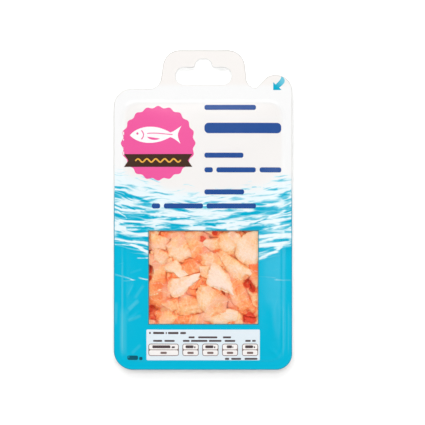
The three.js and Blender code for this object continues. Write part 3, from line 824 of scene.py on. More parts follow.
def makeRim():
    paint = Paint("sealedRim")
    spot = paint.place()
    x, y, _ = paint.parts(spot)
    grain = paint.noise(spot, 0.8, 2.0)
    shore = paint.step(y + (grain - 0.5) * rim["shoreWander"], *rim["shoreY"])
    # painted shade of the edge, darker on the tab and at its top; painted light round the hole
    colour = paint.blend(paint.step(y, *rim["tabY"]), rim["body"], rim["tab"])
    colour = paint.blend(paint.step(y, *rim["tabTopY"]), colour, rim["tabTopShade"])
    hole = paint.step(paint.size(x - hangTab["x"]), *rim["holeX"]) * paint.step(y, *rim["holeHighY"])
    colour = paint.blend(hole * paint.step(y, *rim["holeLowY"]), colour, rim["hole"])
    colour = paint.blend(shore, colour, rim["sea"])
    material = paint.finish(Base_Color=colour, Roughness=0.3 + grain * 0.15)
    points, faces = [], []
    levels = len(rim["profile"])
    for outline, inwards in ((packOutline(), 1), (hangHoleOutline(), -1)):
        first, count = sum(len(ring) for ring in points), len(outline)
        for inset, z in rim["profile"]:
            points.append(np.column_stack((moved(outline, inset * inwards), np.full(count, z))))
        for level in range(levels):
            a, b = first + level * count, first + (level + 1) % levels * count
            for i in range(count):
                face = [a + i, a + (i + 1) % count, b + (i + 1) % count, b + i]
                faces.append(face[::inwards])
    return keep(makeMesh("sealedRim", np.concatenate(points), faces, material, 50), "tray_plastic")


makePrintedFilm()
makePane()
makeRim()
print("film made")

# Print on the grounds. Each field of colour lies a little over the one below it.

inkLift = 0.05
inkCell = 1.0


def makeInk(name, colour, second=None):
    paint = Paint(name)
    spot = paint.place()
    density = paint.noise(spot, 0.9, 3.0, 0.6)
    lighter = second or [min(1, value * 1.1 + 0.006) for value in colour[:3]] + [1]
    colour = paint.blend(density * 0.4, colour, lighter)
    return filmSurface(paint, spot, colour)


def stamp(name, shapes, layer, material, slot, *nodes):
    piece = makeSheets(name, shapes, above(inkLift * layer), above(-0.02), material, inkCell)
    return keep(piece, slot, *nodes)


sealMiddle, _ = middleAndHalf("print_seal")
seal = {
    "x": sealMiddle[0],
    "y": sealMiddle[1],
    "radius": 24.4,
    "lobes": 20,
    "lobeDepth": 0.7,
    "pink": ink(240, 92, 160),
}


def sealOutline():
    angles = np.linspace(0, 2 * math.pi, seal["lobes"] * 10, endpoint=False)
    radius = seal["radius"] + seal["lobeDepth"] * np.cos(seal["lobes"] * angles)
    return np.stack((seal["x"] + radius * np.cos(angles), seal["y"] + radius * np.sin(angles)), axis=1)


fish = {"x": seal["x"] - 2, "y": seal["y"] + 5.6, "length": 34, "height": 13, "white": ink(250, 249, 250)}


def fishSpot(along, up):
    return (fish["x"] + along * fish["length"], fish["y"] + up * fish["height"])


def fishOutline():
    nose, tailLow, tailHigh = fishSpot(-0.5, -0.02), fishSpot(0.5, -0.46), fishSpot(0.52, 0.46)
    waistLow, waistHigh, fork = fishSpot(0.3, -0.12), fishSpot(0.3, 0.12), fishSpot(0.43, 0)
    stretches = [
        bezier(nose, fishSpot(-0.36, -0.42), fishSpot(-0.04, -0.62), waistLow, 22),
        bezier(waistLow, fishSpot(0.37, -0.17), fishSpot(0.45, -0.34), tailLow, 8),
        bezier(tailLow, fork, fork, tailHigh, 12),
        bezier(tailHigh, fishSpot(0.45, 0.34), fishSpot(0.37, 0.17), waistHigh, 8),
        bezier(waistHigh, fishSpot(-0.02, 0.62), fishSpot(-0.36, 0.44), nose, 22),
    ]
    return np.concatenate(stretches)


# a line of even width along a curve, with round ends
def strokeOutline(line, halfWidth):
    line = np.asarray(line, float)
    ahead = np.gradient(line, axis=0)
    ahead /= np.hypot(*ahead.T)[:, None]
    side = np.stack((-ahead[:, 1], ahead[:, 0]), axis=1) * halfWidth
    turn = np.linspace(-math.pi / 2, math.pi / 2, 5)[1:-1]
    caps = []
    for spot, direction in ((line[-1], ahead[-1]), (line[0], -ahead[0])):
        angle = math.atan2(direction[1], direction[0]) + turn
        caps.append(spot + halfWidth * np.stack((np.cos(angle), np.sin(angle)), axis=1))
    return np.concatenate((line - side, caps[0], (line + side)[::-1], caps[1]))


def arc(x, y, radius, first, last, steps=10):
    angles = np.radians(np.linspace(first, last, steps))
    return np.stack((x + radius * np.cos(angles), y + radius * np.sin(angles)), axis=1)


def fishMarks():  # gill, fin and the line along the side
    gill = strokeOutline(arc(*fishSpot(-0.335, 0), 3.6, -50, 50), 0.34)
    finFront, finEnd = fishSpot(-0.16, -0.1), fishSpot(0.1, -0.2)
    finCurve = bezier(finFront, fishSpot(-0.1, -0.3), fishSpot(0.02, -0.3), finEnd, 10)
    finBack = bezier(finEnd, fishSpot(0.02, -0.16), fishSpot(-0.08, -0.12), finFront, 8)
    gillEnd, tail = fishSpot(-0.18, 0.06), fishSpot(0.34, 0.01)
    line = bezier(gillEnd, fishSpot(-0.02, 0.14), fishSpot(0.16, 0.04), tail, 16)
    return [gill, np.concatenate((finCurve, finBack)), strokeOutline(line, 0.3)]


ribbonMiddle, ribbonHalf = middleAndHalf("print_ribbon")
ribbon = {
    "x": ribbonMiddle[0],
    "y": ribbonMiddle[1],
    "halfX": ribbonHalf[0],
    "halfY": ribbonHalf[1],
    "tail": 3,
    "brown": ink(70, 48, 38),
    "gold": ink(238, 172, 66),
    "waveReach": 15,
    "waveCrests": 5,
    "waveHeight": 1.1,
    "waveHalfStroke": 0.5,
}


def ribbonOutline():
    x, y, halfX, halfY, tail = (ribbon[key] for key in ("x", "y", "halfX", "halfY", "tail"))
    return np.array([
        (x - halfX, y - halfY),
        (x + halfX, y - halfY),
        (x + halfX - tail, y),
        (x + halfX, y + halfY),
        (x - halfX, y + halfY),
        (x - halfX + tail, y),
    ])


def ribbonWave():
    share = np.linspace(0, 1, ribbon["waveCrests"] * 14)
    x = ribbon["x"] + ribbon["waveReach"] * (2 * share - 1)
    y = ribbon["y"] + ribbon["waveHeight"] * np.sin(2 * math.pi * ribbon["waveCrests"] * share)
    return strokeOutline(np.stack((x, y), axis=1), ribbon["waveHalfStroke"])


pinkInk = makeInk("pinkInk", seal["pink"])
whiteInk = makeInk("whiteInk", fish["white"])
brownInk = makeInk("brownInk", ribbon["brown"])
goldInk = makeInk("goldInk", ribbon["gold"], ink(250, 205, 110))
eye = circle(*fishSpot(-0.35, 0.07), 0.8, 16)
stamp("sealGround", [[sealOutline()]], 1, pinkInk, "pink_ink", "print_seal")
stamp("sealFish", [[fishOutline(), eye]], 2, whiteInk, "white_ink", "print_fish")
stamp("sealFishMarks", [[mark] for mark in fishMarks()], 3, pinkInk, "pink_ink")
stamp("sealRibbon", [[ribbonOutline()]], 2, brownInk, "brown_ink", "print_ribbon")
stamp("sealWave", [[ribbonWave()]], 3, goldInk, "gold_ink", "print_ribbon_wave")

# Plain rounded bars stand where a pack names its contents: left and right end of each word
titleWords = {
    1: [(1, 35.6)],
    2: [(1, 52.6)],
    3: [(1, 27.1)],
    4: [(1, 6.6), (9, 35.4), (38, 52.6)],
    5: [(1, 27.6)],
    6: [(-34.3, -28.7), (-26.2, 0), (2.4, 35.6)],
}


def titleShapes():
    shapes = []
    for number, words in titleWords.items():
        (_, middle, _), (_, half, _) = middleAndHalf(f"print_title_bar_{number}")
        for left, right in words:
            shapes.append([roundedBox((left + right) / 2, middle, (right - left) / 2, half, half * 0.8)])
    return shapes


blueInk = makeInk("blueInk", ink(40, 80, 150))
titleNodes = [f"print_title_bar_{number}" for number in titleWords]
stamp("titleBars", titleShapes(), 2, blueInk, "blue_ink", *titleNodes)

# The table: pale panel, framed cells, and short bars for its words and numbers
table = {
    "pale": ink(230, 241, 248),
    "cell": ink(251, 247, 245),
    "rule": ink(132, 112, 108),
    "dark": ink(88, 76, 78),
    "ruleWidth": 0.45,
    "fillInset": 0.1,
    "corner": 1.6,
    "header": [(-36.1, -35), (-33.4, -26), (-25, -24.2), (-23.4, -16.4), (-15.2, -11.4)],
    "headerY": -82.5,
    "footer": [(14.8, 17.6), (19, 25.6), (28, 36.6)],
    "footerY": -100,
    # the two lines of labels over the cells: height, and where each word starts and ends
    "labels": {
        -85.4: [(-9.6, -5.6), (-3.2, 9.6), (13.4, 18.8)],
        -87.8: [(-33.4, -27.4), (-25.8, -19), (-13.4, -9), (-8, -1.8), (-2.6, 3), (4, 12.4),
                (14.6, 21.6), (28.4, 32), (33, 35.4)],
    },
    "wordHeight": 1.25,
    "numberShares": (0.74, 0.62, 0.62, 0.42, 0.62),  # of each cell's width
    "shareHalfX": 2.1,
    "shareHeight": 1.5,
}
cellCount = 5
cellNodes = [f"print_table_cell_{number + 1}" for number in range(cellCount)]


def cellBoxes():  # middle and half extent of each cell, across and along
    boxes = [middleAndHalf(node) for node in cellNodes]
    return [(*middle[:2], *half[:2]) for middle, half in boxes]


def frameShapes():
    shapes = []
    rule = table["ruleWidth"]
    for x, y, halfX, halfY in cellBoxes():
        halfHole = halfY / 2 - rule * 0.75
        loops = [roundedBox(x, y, halfX, halfY, table["corner"])]
        for side in (-1, 1):
            loops.append(roundedBox(x, y + side * (halfHole + rule / 2), halfX - rule, halfHole, 1.1))
        shapes.append(loops)
    return shapes


def fillShapes():
    inset = table["fillInset"]
    return [
        [roundedBox(x, y, halfX - inset, halfY - inset, table["corner"])]
        for x, y, halfX, halfY in cellBoxes()
    ]


def wordShape(left, right, y, height):
    return [roundedBox((left + right) / 2, y, (right - left) / 2, height / 2, height * 0.35)]


def tableWords():
    height = table["wordHeight"]
    shapes = [wordShape(left, right, table["headerY"], height * 1.15) for left, right in table["header"]]
    shapes += [wordShape(left, right, table["footerY"], height) for left, right in table["footer"]]
    for y, words in table["labels"].items():
        shapes += [wordShape(left, right, y, height) for left, right in words]
    return shapes


def tableNumbers():
    shapes = []
    for (x, y, halfX, halfY), share in zip(cellBoxes(), table["numberShares"]):
        reach, line = halfX * share, y + halfY / 2
        shapes.append(wordShape(x - reach, x + reach * 0.6, line, 1.9))
        shapes.append(wordShape(x + reach * 0.72, x + reach, line - 0.3, 1.2))
    return shapes


def tableShares():
    half, height = table["shareHalfX"], table["shareHeight"]
    return [wordShape(x - half, x + half, y - halfY / 2, height) for x, y, _, halfY in cellBoxes()]


def panelShape():
    middle, half = middleAndHalf("print_table_panel")
    return [roundedBox(middle[0], middle[1], half[0], half[1], 0.8)]


panelInk = makeInk("panelInk", table["pale"])
cellInk = makeInk("cellInk", table["cell"])
ruleInk = makeInk("ruleInk", table["rule"])
darkInk = makeInk("darkInk", table["dark"])
stamp("tablePanel", [panelShape()], 1, panelInk, "panel_ink", "print_table_panel")
stamp("tableFills", fillShapes(), 2, cellInk, "white_ink")
stamp("tableFrames", frameShapes(), 3, ruleInk, "rule_ink", *cellNodes)
stamp("tableWords", tableWords(), 2, darkInk, "rule_ink")
stamp("tableNumbers", tableNumbers(), 3, darkInk, "rule_ink")
stamp("tableShares", tableShares(), 3, ruleInk, "rule_ink")

weightLow, weightHigh = cornersOf("print_weight_bar")
weight = {
    "y": (weightLow[1] + weightHigh[1]) / 2,
    # where each block starts and ends as a share of the bar, its height and how far it sits lower
    "blocks": [(0, 0.7, 3.0, 0), (0.78, 1, 2.2, 0.5)],
}


def weightShapes():
    left, width = weightLow[0], weightHigh[0] - weightLow[0]
    return [
        wordShape(left + start * width, left + end * width, weight["y"] - lower, height)
        for start, end, height, lower in weight["blocks"]
    ]


tealInk = makeInk("tealInk", ink(16, 92, 112))
stamp("weightBar", weightShapes(), 1, tealInk, "teal_ink", "print_weight_bar")

arrow = {"x": 47.2, "y": 80.6, "length": 15, "point": ink(10, 172, 203), "tail": ink(118, 204, 226)}


# a curved arrow that starts at the peel tab's edge and points down into the pack
def arrowOutline():
    corner = np.array([arrow["x"], arrow["y"]])
    outer, shoulder, tip, inner = (4.1, 1.7), (7.8, 6.4), (5.3, 9.5), (1.6, 3.8)
    return corner + np.concatenate((
        np.array([(0, 0), (5.5, 0), outer]),
        bezier(outer, (6, 3.1), (7.8, 4.6), shoulder, 8),
        bezier(shoulder, (7.6, 7.8), (6.5, 8.9), tip, 6),
        bezier(tip, (5.6, 7.8), (4.3, 6.2), inner, 10),
        np.array([(0, 5.2)]),
    ))


def makeArrowInk():
    paint = Paint("arrowInk")
    spot = paint.place()
    x, y, _ = paint.parts(spot)
    run = paint.step(x + y - (arrow["x"] + arrow["y"]), 3, arrow["length"])
    colour = paint.blend(run, arrow["point"], arrow["tail"])
    return filmSurface(paint, spot, colour)


stamp("peelArrow", [[arrowOutline()]], 1, makeArrowInk(), "sea_ink", "print_peel_arrow")
print("print made")

# The tray: a flange with a basin drawn down from it

tray = {
    "web": 0.6,
    "mouthRadius": 1.2,
    "floorRadius": 4,
    "draft": math.radians(5),
    "cornerSteps": 12,
    "colour": ink(246, 246, 243),
}
# the centres of the two bends, and how far the floor's bend starts inside the mouth
tray["mouthZ"], tray["floorZ"] = pack["flangeTop"] - tray["mouthRadius"], tray["web"] + tray["floorRadius"]
tray["across"] = (
    (tray["mouthRadius"] + tray["floorRadius"]) / math.cos(tray["draft"])
    + (tray["mouthZ"] - tray["floorZ"]) * math.tan(tray["draft"])
)


def mouthRing(inset, z):
    radius = cavity["corner"] - inset
    reachX, reachY = (cavity[key] - inset - radius for key in ("halfX", "halfY"))
    ring = []
    for quarter, (sideX, sideY) in enumerate(((1, 1), (-1, 1), (-1, -1), (1, -1))):
        for step in range(tray["cornerSteps"] + 1):
            angle = (quarter + step / tray["cornerSteps"]) * math.pi / 2
            x = sideX * reachX + radius * math.cos(angle)
            ring.append((x, cavity["y"] + sideY * reachY + radius * math.sin(angle), z))
    return np.array(ring)


# the wall from the floor's edge up to the mouth, grown outwards by a thickness
def basinRings(grow):
    draft, across = tray["draft"], tray["across"]
    rings = []
    for angle in np.linspace(math.pi / 2, draft, 9):
        radius = tray["floorRadius"] + grow
        rings.append(mouthRing(across - radius * math.cos(angle), tray["floorZ"] - radius * math.sin(angle)))
    for angle in np.linspace(draft, math.pi / 2, 6):
        radius = tray["mouthRadius"] - grow
        rings.append(mouthRing(radius * math.cos(angle), tray["mouthZ"] + radius * math.sin(angle)))
    return rings


def ringWall(rings, first, outwards):
    count, faces = len(rings[0]), []
    for r in range(len(rings) - 1):
        for i in range(count):
            a, b = first + r * count + i, first + r * count + (i + 1) % count
            face = [a, b, b + count, a + count]
            faces.append(face if outwards else face[::-1])
    return faces


def makeTrayPaint():
    paint = Paint("trayPlastic")
    spot = paint.place()
    cloud = paint.noise(spot, 0.08, 3.0)
    grain = paint.noise(spot, 3.0, 2.0)
    colour = paint.blend(cloud * 0.5, tray["colour"], ink(240, 242, 241))
    normal = paint.bump(grain * 0.3 + cloud, 0.1, 0.4)
    return paint.finish(Base_Color=colour, Roughness=0.3 + grain * 0.12, Normal=normal, Coat_Weight=0.15)


def makeTray():
    loops = [packOutline(), hangHoleOutline(), mouthRing(0, 0)[:, :2]]
    top = pack["flangeTop"]
    flat, faces = triangulate(loops, 3.0)
    level = np.ones(len(flat))
    points = [np.column_stack((flat, level * top)), np.column_stack((flat, level * (top - tray["web"])))]
    count = len(flat)
    allFaces = faces.tolist() + (faces[:, ::-1] + count).tolist()
    mouthSize = len(divided(loops[2], 3.0))
    mouthFirst = len(divided(loops[0], 3.0)) + len(divided(loops[1], 3.0))
    for a, b in rimEdges(faces):
        if not mouthFirst <= a < mouthFirst + mouthSize:
            allFaces.append([b, a, a + count, b + count])
    total = 2 * count
    for grow, outwards in ((0.0, False), (tray["web"], True)):
        rings = basinRings(grow)
        ringSize = len(rings[0])
        allFaces += ringWall(rings, total, outwards)
        floor = [total + i for i in range(ringSize)]
        allFaces.append(floor[::-1] if outwards else floor)
        points += rings
        total += ringSize * len(rings)
    piece = makeMesh("salmonTray", np.concatenate(points), allFaces, makeTrayPaint(), 30)
    return keep(piece, "tray_plastic", "tray")


makeTray()
print("tray made")

# Salmon: a core with torn flakes settled on it, where the window shows them

heap = {
    "coreTop": 11,
    "giveWay": 0.6,
    "sunk": 0.3,
    "margin": 7,
    "cell": 1,
    "steepest": 0.34,
    "pressed": 1.6,
    "clearance": 0.4,
    "seed": 20,
}
layers = [
    {"columns": 6, "rows": 5, "length": (21, 29), "width": (15, 20), "thick": (2, 3)},
    {"columns": 5, "rows": 4, "length": (16, 26), "width": (10, 16), "thick": (1.8, 2.8)},
]
# the flakes that show most, by the corners of their outlines: the solid has plainer ones for them
forms = [
    {"tone": 1.25, "thick": 2.8, "corners": [
        (6.2, -34.6), (11, -37.5), (16.9, -42.5), (18.3, -47.5), (20.6, -57), (12, -53.6), (3.2, -49.8),
        (3.4, -44),
    ]},
    {"tone": 1.2, "thick": 2.7, "corners": [
        (-1.8, -42), (-2.4, -46.2), (-8.9, -51.3), (-13.1, -55.8), (-19, -58.3), (-22.6, -55),
        (-23.6, -50.5), (-21, -46.6), (-16, -46), (-9, -44.3),
    ]},
    {"tone": 0.9, "thick": 2.5, "corners": [
        (9.4, -28.8), (12.1, -26.6), (20.5, -32.6), (31.4, -40.2), (32.6, -43.2), (28.9, -46.4),
        (23.5, -47), (16.5, -40.5),
    ]},
    {"tone": 1.1, "thick": 2.3, "corners": [
        (-18.4, -34.2), (-26.8, -38.2), (-24, -41.5), (-19.5, -42.5), (-14.8, -46.4), (-9.5, -43.3),
        (-14, -40), (-15.5, -36),
    ]},
    {"tone": 1.05, "thick": 2.5, "corners": [
        (23.7, -21), (28.9, -16.6), (38.5, -12), (42, -22), (39, -33.6), (31, -36.6), (26.2, -36.8),
        (21.6, -29.9),
    ]},
    {"tone": 0.85, "thick": 2.4, "corners": [
        (-24.2, -24.4), (-20, -19), (-15.5, -16.6), (-11.2, -20.8), (-9.5, -25.5), (-8.4, -30.6),
        (-15.6, -34), (-22.4, -30.4),
    ]},
    {"tone": 0.85, "thick": 2.3, "corners": [
        (-2.8, -52.2), (3, -50), (10.5, -54.5), (16, -60), (15, -68), (6, -71.5), (-1, -66), (-4.5, -58),
    ]},
    {"tone": 0.6, "thick": 2.4, "corners": [
        (-32.4, -69), (-25.7, -66), (-17.3, -71.5), (-22.4, -77), (-29.1, -78),
    ]},
]
# and more of them in the scene alone, laid before those
lesserForms = [
    {"tone": 0.3, "thick": 2.2, "corners": [
        (-35.8, -47.1), (-33.3, -37.8), (-29.9, -32.8), (-26.6, -35.3), (-25.7, -53.8), (-27.4, -65.6),
        (-35, -62.2),
    ]},
    {"tone": 0.35, "thick": 2.4, "corners": [
        (19.7, -45.4), (25.6, -47.9), (30.6, -58.9), (34.8, -68.1), (25.6, -67.3), (20.5, -60.5),
        (18.8, -53.8),
    ]},
    {"tone": 0.4, "thick": 2.0, "corners": [
        (-10.4, -17), (-1, -14.6), (7, -24), (3.5, -31), (-3.6, -33.6), (-8.5, -30),
    ]},
    {"tone": 0.38, "thick": 2.0, "corners": [
        (-14.8, -38.7), (-7.2, -34.5), (-1.5, -38.5), (-3, -42), (-9.8, -44.5), (-14, -44),
    ]},
    {"tone": 0.6, "thick": 2.2, "corners": [
        (-18.2, -62.2), (-10.6, -58.9), (-5.5, -60.5), (-1.3, -68.1), (-10.6, -71.5), (-16.5, -68.1),
    ]},
    {"tone": 0.2, "thick": 1.8, "corners": [
        (33, -38), (38, -36), (38, -50), (35, -55), (33, -48),
    ]},
    {"tone": 0.3, "thick": 1.8, "corners": [
        (-18, -73.5), (-1, -72), (0, -79), (-18, -80),
    ]},
    {"tone": 0.95, "thick": 2.0, "corners": [
        (-0.5, -70.6), (8.7, -67.3), (20.5, -68.1), (22.2, -72.3), (12.1, -75.7), (1.2, -73.1),
    ]},
    {"tone": 0.75, "thick": 2.0, "corners": [
        (-34.3, -17), (-24, -20.6), (-25.6, -26.1), (-34, -24),
    ]},
    {"tone": 0.85, "thick": 1.9, "corners": [
        (-31.5, -27.2), (-23, -30.2), (-27.2, -35), (-31.5, -32),
    ]},
    {"tone": 0.75, "thick": 2.3, "corners": [
        (12.1, -18.5), (16, -15.5), (20.5, -14.4), (24.2, -18.5), (22.5, -23), (19.7, -26.3),
        (13.8, -26.9), (11.5, -23),
    ]},
    {"tone": 0.9, "thick": 1.8, "corners": [
        (1.2, -20.6), (8.9, -20.6), (9.4, -25), (5.5, -26), (2, -23.5),
    ]},
    {"tone": 0.75, "thick": 2.0, "corners": [
        (0.8, -31), (6, -29.5), (13, -33.5), (13, -37.5), (7.5, -36.6), (2, -38.5), (0.3, -35),
    ]},
    {"tone": 0.95, "thick": 1.8, "corners": [
        (-1, -38.8), (3.4, -38.6), (3.2, -46.2), (-0.4, -43.6),
    ]},
    {"tone": 0.45, "thick": 1.9, "corners": [
        (-25.7, -63.9), (-18.2, -60.5), (-17.3, -64.7), (-22.4, -67.3),
    ]},
    {"tone": 0.45, "thick": 1.9, "corners": [
        (31.5, -55), (38, -57), (38, -66), (34.5, -63),
    ]},
]


class Dice:  # draws from 0 up to 1 that come out the same every time
    def __init__(self, seed):
        self.state = seed

    def roll(self):
        self.state = (self.state * 1664525 + 1013904223) % 2**32
        return self.state / 2**32

    def between(self, low, high):
        return low + (high - low) * self.roll()


dice = Dice(heap["seed"])


def tornOutline():
    count = 6 + int(2 * dice.roll())
    corners = []
    for i in range(count):
        angle = 2 * math.pi * (i + dice.between(-0.28, 0.28)) / count
        share = dice.between(0.72, 1.12)
        corners.append((share * math.cos(angle), share * math.sin(angle)))
    return corners


def makeFlake(x, y, turn, length, width, thick):
    outline = tornOutline()
    bend = dice.between(-0.5, 0.9)
    return {"x": x, "y": y, "turn": turn, "halfX": length / 2, "halfY": width / 2, "thick": thick,
            "bend": bend, "outline": outline, "notches": (1, 4), "crumpled": 1}


def scatterFlakes():
    reachX, reachY = windowPane["halfX"] + heap["margin"], windowPane["halfY"] + heap["margin"]
    flakes = []
    for layer in layers:
        columns, rows = layer["columns"], layer["rows"]
        for i in range(columns * rows):
            across = (i % columns + dice.between(0.1, 0.9)) / columns
            along = (i // columns + dice.between(0.1, 0.9)) / rows
            x = windowPane["x"] + reachX * (2 * across - 1)
            y = windowPane["y"] + reachY * (2 * along - 1)
            turn = dice.between(0, 2 * math.pi)
            sizes = [dice.between(*layer[key]) for key in ("length", "width", "thick")]
            flakes.append(makeFlake(x, y, turn, *sizes))
    return flakes


def shapedFlake(form):
    corners = np.array(form["corners"])
    middle = corners.mean(0)
    offsets = corners - middle
    turn = math.atan2(*np.linalg.eigh(offsets.T @ offsets)[1][::-1, 1])  # its longest way
    cos, sin = math.cos(turn), math.sin(turn)
    along = offsets[:, 0] * cos + offsets[:, 1] * sin
    across = offsets[:, 1] * cos - offsets[:, 0] * sin
    halfX, halfY = np.abs(along).max(), np.abs(across).max()
    outline = sorted(zip(along / halfX, across / halfY), key=lambda spot: math.atan2(spot[1], spot[0]))
    halfX, halfY = halfX + form.get("spread", 0.8), halfY + form.get("spread", 0.8)
    return {
        "x": middle[0],
        "y": middle[1],
        "turn": turn,
        "halfX": halfX,
        "halfY": halfY,
        "thick": form["thick"],
        "bend": 0.3,
        "outline": outline,
        "notches": (0, 2),
        "crumpled": max(0.15, 1.2 - form["tone"]),
        "tone": form["tone"],
    }


# how far out the torn edge lies in each direction
def edgeShares(outline, along, across):
    shares = np.ones(len(along))
    for i, (ax, ay) in enumerate(outline):
        bx, by = outline[(i + 1) % len(outline)]
        within = (ax * across - ay * along >= 0) & (along * by - across * bx > 0)
        reach = (ax * by - ay * bx) / np.where(within, along * (by - ay) - across * (bx - ax), 1)
        shares = np.where(within, reach, shares)
    return shares


def placeOn(flake, u, v):
    cos, sin = math.cos(flake["turn"]), math.sin(flake["turn"])
    along, across = u * flake["halfX"], v * flake["halfY"]
    return flake["x"] + along * cos - across * sin, flake["y"] + along * sin + across * cos


class Ground:  # heights that the flakes settle on, one for each cell
    def __init__(self):
        self.heights = {}

    def key(self, x, y):
        return math.floor(x / heap["cell"] + 0.5), math.floor(y / heap["cell"] + 0.5)

    def at(self, x, y):
        return self.heights.get(self.key(x, y), heap["coreTop"])

    def settle(self, flake):
        spots = [(0, 0)]
        for u, v in flake["outline"]:
            spots += [(u * 0.5, v * 0.5), (u * 0.9, v * 0.9)]
        places = [placeOn(flake, u, v) for u, v in spots]
        dx = np.array([x for x, _ in places]) - flake["x"]
        dy = np.array([y for _, y in places]) - flake["y"]
        z = np.array([self.at(x, y) for x, y in places])
        mx, my, mz = dx.mean(), dy.mean(), z.mean()
        xx, yy, xy = ((dx - mx) ** 2).mean(), ((dy - my) ** 2).mean(), ((dx - mx) * (dy - my)).mean()
        xz, yz = ((dx - mx) * (z - mz)).mean(), ((dy - my) * (z - mz)).mean()
        spread = xx * yy - xy * xy
        steepest = heap["steepest"]
        flake["slopeX"] = min(steepest, max(-steepest, (xz * yy - yz * xy) / spread))
        flake["slopeY"] = min(steepest, max(-steepest, (yz * xx - xz * xy) / spread))
        flake["z"] = mz - flake["slopeX"] * mx - flake["slopeY"] * my
        proud = (z - flake["z"] - flake["slopeX"] * dx - flake["slopeY"] * dy).max()
        flake["z"] += proud * (1 - heap["giveWay"]) - heap["sunk"]
        self.cover(flake)

    def cover(self, flake):
        reach = math.ceil(1.2 * max(flake["halfX"], flake["halfY"]))
        cos, sin = math.cos(flake["turn"]), math.sin(flake["turn"])
        steps = np.arange(-reach, reach + 1, heap["cell"])
        dx, dy = (values.ravel() for values in np.meshgrid(steps, steps, indexing="ij"))
        along = (dx * cos + dy * sin) / flake["halfX"]
        across = (dy * cos - dx * sin) / flake["halfY"]
        share = np.maximum(np.hypot(along, across), 1e-9)
        covered = share <= edgeShares(flake["outline"], along / share, across / share)
        z = flake["z"] + flake["slopeX"] * dx + flake["slopeY"] * dy + flake["thick"]
        for stepX, stepY, height in zip(dx[covered], dy[covered], z[covered]):
            key = self.key(flake["x"] + stepX, flake["y"] + stepY)
            self.heights[key] = max(self.heights.get(key, heap["coreTop"]), height)


# the film flattens whatever reaches up to it
def pressUnderFilm(x, y, z):
    limit = pack["flangeTop"] + filmRise(x, y) - heap["clearance"]
    over = np.maximum(z - (limit - heap["pressed"]), 0)
    pressed = limit - heap["pressed"] * np.exp(-over / heap["pressed"])
    return np.where(over > 0, pressed, z)


# smooth seeded unevenness: a few sine waves in different directions
def ripple(x, y, wavelength, seed, count=7):
    draw = np.random.default_rng(seed)
    total = np.zeros(np.shape(x))
    for _ in range(count):
        angle, phase = draw.uniform(0, 2 * math.pi, 2)
        length = wavelength * draw.uniform(0.6, 1.5)
        total = total + np.sin(2 * math.pi * (x * math.cos(angle) + y * math.sin(angle)) / length + phase)
    return total / math.sqrt(count / 2)


core = {"inset": 2.6, "clearance": 0.4, "rise": 1.5, "relief": 0.8, "cell": 0.9}


def coreTop(x, y):
    lumps = ripple(x, y, 11, 3) * 0.6 + ripple(x, y, 4.5, 4) * 0.3
    near = np.clip((insideCavity(x, y) - core["inset"]) / 8, 0, 1)
    return heap["coreTop"] + near * (core["rise"] + core["relief"] * lumps) - gapDepth * gapShare(x, y)


def makeCore():
    ring = mouthRing(core["inset"], 0)[:, :2]
    paint = Paint("salmonCore")
    spot = paint.place()
    cloud = paint.noise(spot, 0.2, 3.0)
    mottle = paint.noise(spot, 0.9, 3.0)
    share = paint.step(cloud + (mottle - 0.5) * 0.5, 0.35, 0.8)
    colour = paint.blend(share, tint(228, 66, 40), tint(252, 138, 88))
    normal = paint.bump(cloud + mottle * 0.4, 1.0, 0.6)
    material = paint.finish(Base_Color=colour, Roughness=0.4 + mottle * 0.15, Normal=normal)

    def bottom(x, y):  # follows the tray's floor and its bend
        radius = tray["floorRadius"]
        away = np.clip(tray["across"] - insideCavity(x, y), 0, radius)
        return tray["floorZ"] - np.sqrt(radius ** 2 - away ** 2) + core["clearance"]

    return keep(makeSheet("salmonCore", [ring], coreTop, bottom, material, core["cell"]), "salmon")


class Skin:  # heights of what has been laid, one for each cell, for soft pieces to drape over
    def __init__(self, start, cell=0.6):
        self.cell = cell
        self.low = np.array([-cavity["halfX"], cavity["y"] - cavity["halfY"]]) - 5
        columns, rows = ((2 * np.array([cavity["halfX"], cavity["halfY"]]) + 10) / cell).astype(int) + 1
        x, y = np.meshgrid(np.arange(columns) * cell, np.arange(rows) * cell, indexing="ij")
        self.x, self.y = x + self.low[0], y + self.low[1]
        self.heights = start(self.x, self.y)

    def read(self, values, x, y):
        across, along = (x - self.low[0]) / self.cell, (y - self.low[1]) / self.cell
        i, j = np.floor(across).astype(int), np.floor(along).astype(int)
        i, j = np.clip(i, 0, values.shape[0] - 2), np.clip(j, 0, values.shape[1] - 2)
        p, q = np.clip(across - i, 0, 1), np.clip(along - j, 0, 1)
        near = values[i, j] * (1 - p) + values[i + 1, j] * p
        return near * (1 - q) + (values[i, j + 1] * (1 - p) + values[i + 1, j + 1] * p) * q

    def soft(self, x, y):
        return self.read(gaussianBlur(self.heights, 0.9 / self.cell), x, y)

    def lay(self, grid):  # rings of points from the middle outwards
        between = (grid[:-1] + grid[1:]) / 2
        grid = np.concatenate((grid, between))
        points = np.concatenate((grid, (grid + np.roll(grid, 1, 1)) / 2)).reshape(-1, 3)
        fresh = np.full_like(self.heights, -1.0)
        i, j = np.floor((points[:, :2] - self.low) / self.cell + 0.5).astype(int).T
        fits = (i >= 0) & (j >= 0) & (i < fresh.shape[0]) & (j < fresh.shape[1])
        np.maximum.at(fresh, (i[fits], j[fits]), points[fits, 2])
        for axis in (0, 1, 0, 1):  # closes cells that no point fell in
            fresh = np.maximum(fresh, np.minimum(np.roll(fresh, 1, axis), np.roll(fresh, -1, axis)))
        self.heights = np.maximum(self.heights, fresh)


